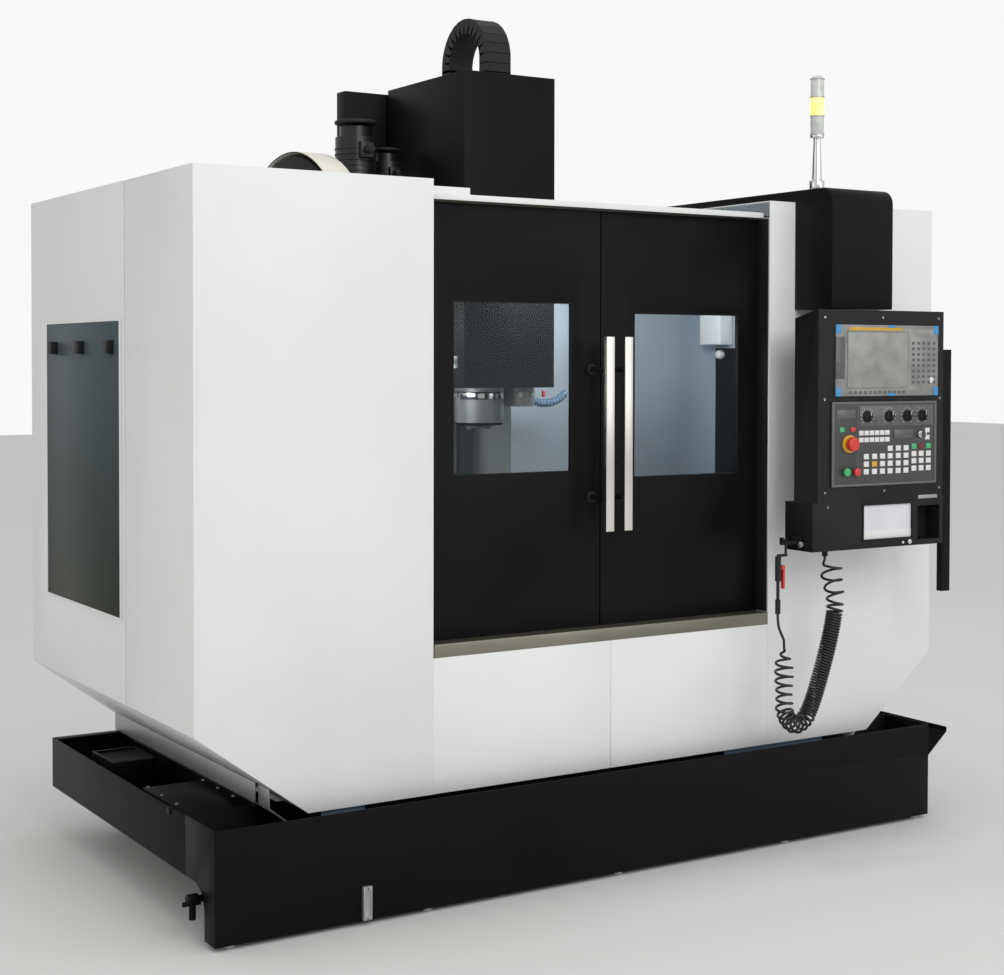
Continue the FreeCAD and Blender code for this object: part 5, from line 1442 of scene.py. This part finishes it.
    def controls(self) -> None:
        """Finishes knobs, buttons and the key switch, and gives the knobs a pointer line."""
        for index, x in enumerate(self.knobs_x, 1):
            self.shop.dress_plain(PLASTIC, 0.8, f"knob_{index}")
            line = Block(self.shop).box((x - 0.9, -273.5, self.knob_z + 3), (x + 0.9, -272.8, self.knob_z + 14))
            line.done(f"knob_{index}_pointer", [KEY_WHITE], "black_plastic", 0.1, f"knob_{index}_body")
        front = self.face - self.proud
        stop = Block(self.shop).turned(
            (self.stop[0], front + 28, self.stop[1]),
            "-y",
            [(0, 5), (39, 5), (39, 19.8), (40.2, 21), (51.5, 21), (53.6, 20), (54.8, 17.4), (55, 14)],
        )
        mushroom = stop.done("emergency_stop_finished", [RED], "red_plastic", 0.3, "emergency_stop_body")
        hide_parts("emergency_stop")
        self.shop.dress_plain(GREEN, 1.2, "start_button")
        self.shop.dress_plain(RED, 1.2, "stop_button")
        self.shop.dress_plain(CHROME, 0.5, "key_switch")

    def tower(self) -> None:
        """Finishes the signal tower by height."""

        def tier(centre: Vector, normal: Vector) -> int:
            """Tells neck, clear lenses and the lit lens apart."""
            if centre.z < 2209.5:
                return 0
            if 2268.5 < centre.z < 2325.5:
                return 2
            return 1

        self.shop.dress("signal_tower", [CHROME, LENS, AMBER], 0.8, tier)
        ribs = Repeat(self.shop, Unit.DISC, 45, 0, 3.0, ZINC, sides=36)
        places = [((755, -40, z), UPWARDS) for z in (2208, 2266, 2324, 2381)]
        ribs.make("tower_rings", places, "zinc_steel")

    def build(self) -> None:
        """Makes the console and what stands over it."""
        self.cases()
        self.screen()
        self.keys()
        self.controls()
        self.tower()


# ---------------------------------------------------------------- rear


@dataclass
class Cabinet:
    """The electrical cabinet with louvres, a fan and its door."""

    shop: Shop
    tray: float = 1746.0
    louvre_turn: Point = (35.0, 0.0, 0.0)

    def build(self) -> None:
        """Makes the cabinet."""
        self.shop.dress_plain(WHITE, 1.4, "electrical_cabinet")

        def door(centre: Vector, normal: Vector) -> int:
            """Tells the lever from the door."""
            return 1 if centre.y > 2034.6 and centre.x > 380 else 0

        self.shop.dress("cabinet_door", [WHITE, PLASTIC], 1.2, door)
        slats = Repeat(self.shop, Unit.BAR, 240, 5, 5, WHITE)
        places = [((-250, 2036, z), self.louvre_turn) for z in (*range(520, 700, 16), *range(1640, 1820, 16))]
        slats.make("door_louvres", places, "white_paint", "cabinet_door_body")
        fans = Repeat(self.shop, Unit.BAR, 5, 150, 5, PLASTIC)
        grille = [((482, 1870, z), UPWARDS) for z in range(1500, 1660, 12)]
        fans.make("fan_grille", grille, "black_plastic")
        rim = Block(self.shop).box((480, 1786, 1484), (483, 1954, 1660))
        rim.done("fan_frame", [PLASTIC], "black_plastic", 0.8)
        self.inside()

    def inside(self) -> None:
        """Makes the wiring ducts, drives and breakers on the tray behind the cabinet's door."""
        fitted = Block(self.shop)
        for z in (560, 900, 1240, 1600):
            fitted.box((-400, self.tray, z), (400, 1800, z + 45), 0)
        for x in (-400, 345):
            for low, high in ((605, 900), (945, 1240), (1285, 1600)):
                fitted.box((x, self.tray, low), (x + 55, 1800, high), 0)
        for x in (-320, -215, -110, -5, 100, 205):
            fitted.box((x, self.tray, 1300), (x + 90, 1890, 1580), 1)
            fitted.box((x + 10, 1890, 1500), (x + 80, 1893, 1560), 2)
        for x in (-310, -60, 190):
            fitted.box((x, self.tray, 980), (x + 140, 1840, 1190), 1)
        for x in range(-320, 300, 24):
            fitted.box((x, self.tray, 730), (x + 20, 1800, 815), 2)
        fitted.done("cabinet_fittings", [FOIL_EDGE, PLASTIC, KEY_WHITE], "black_plastic", 1.0)


def main() -> None:
    """Builds the scene."""
    logging.basicConfig(level=logging.INFO, format="%(message)s")
    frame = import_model()
    shop = Shop(frame)
    Studio(shop).build()
    AirHose(shop).build()
    for assembly in (Enclosure, Doors, Base, Axes, Magazine, EnergyChain, Console, Cabinet):
        assembly(shop).build()
        LOG.info("%s done", assembly.__name__)


if __name__ == "__main__":
    main()
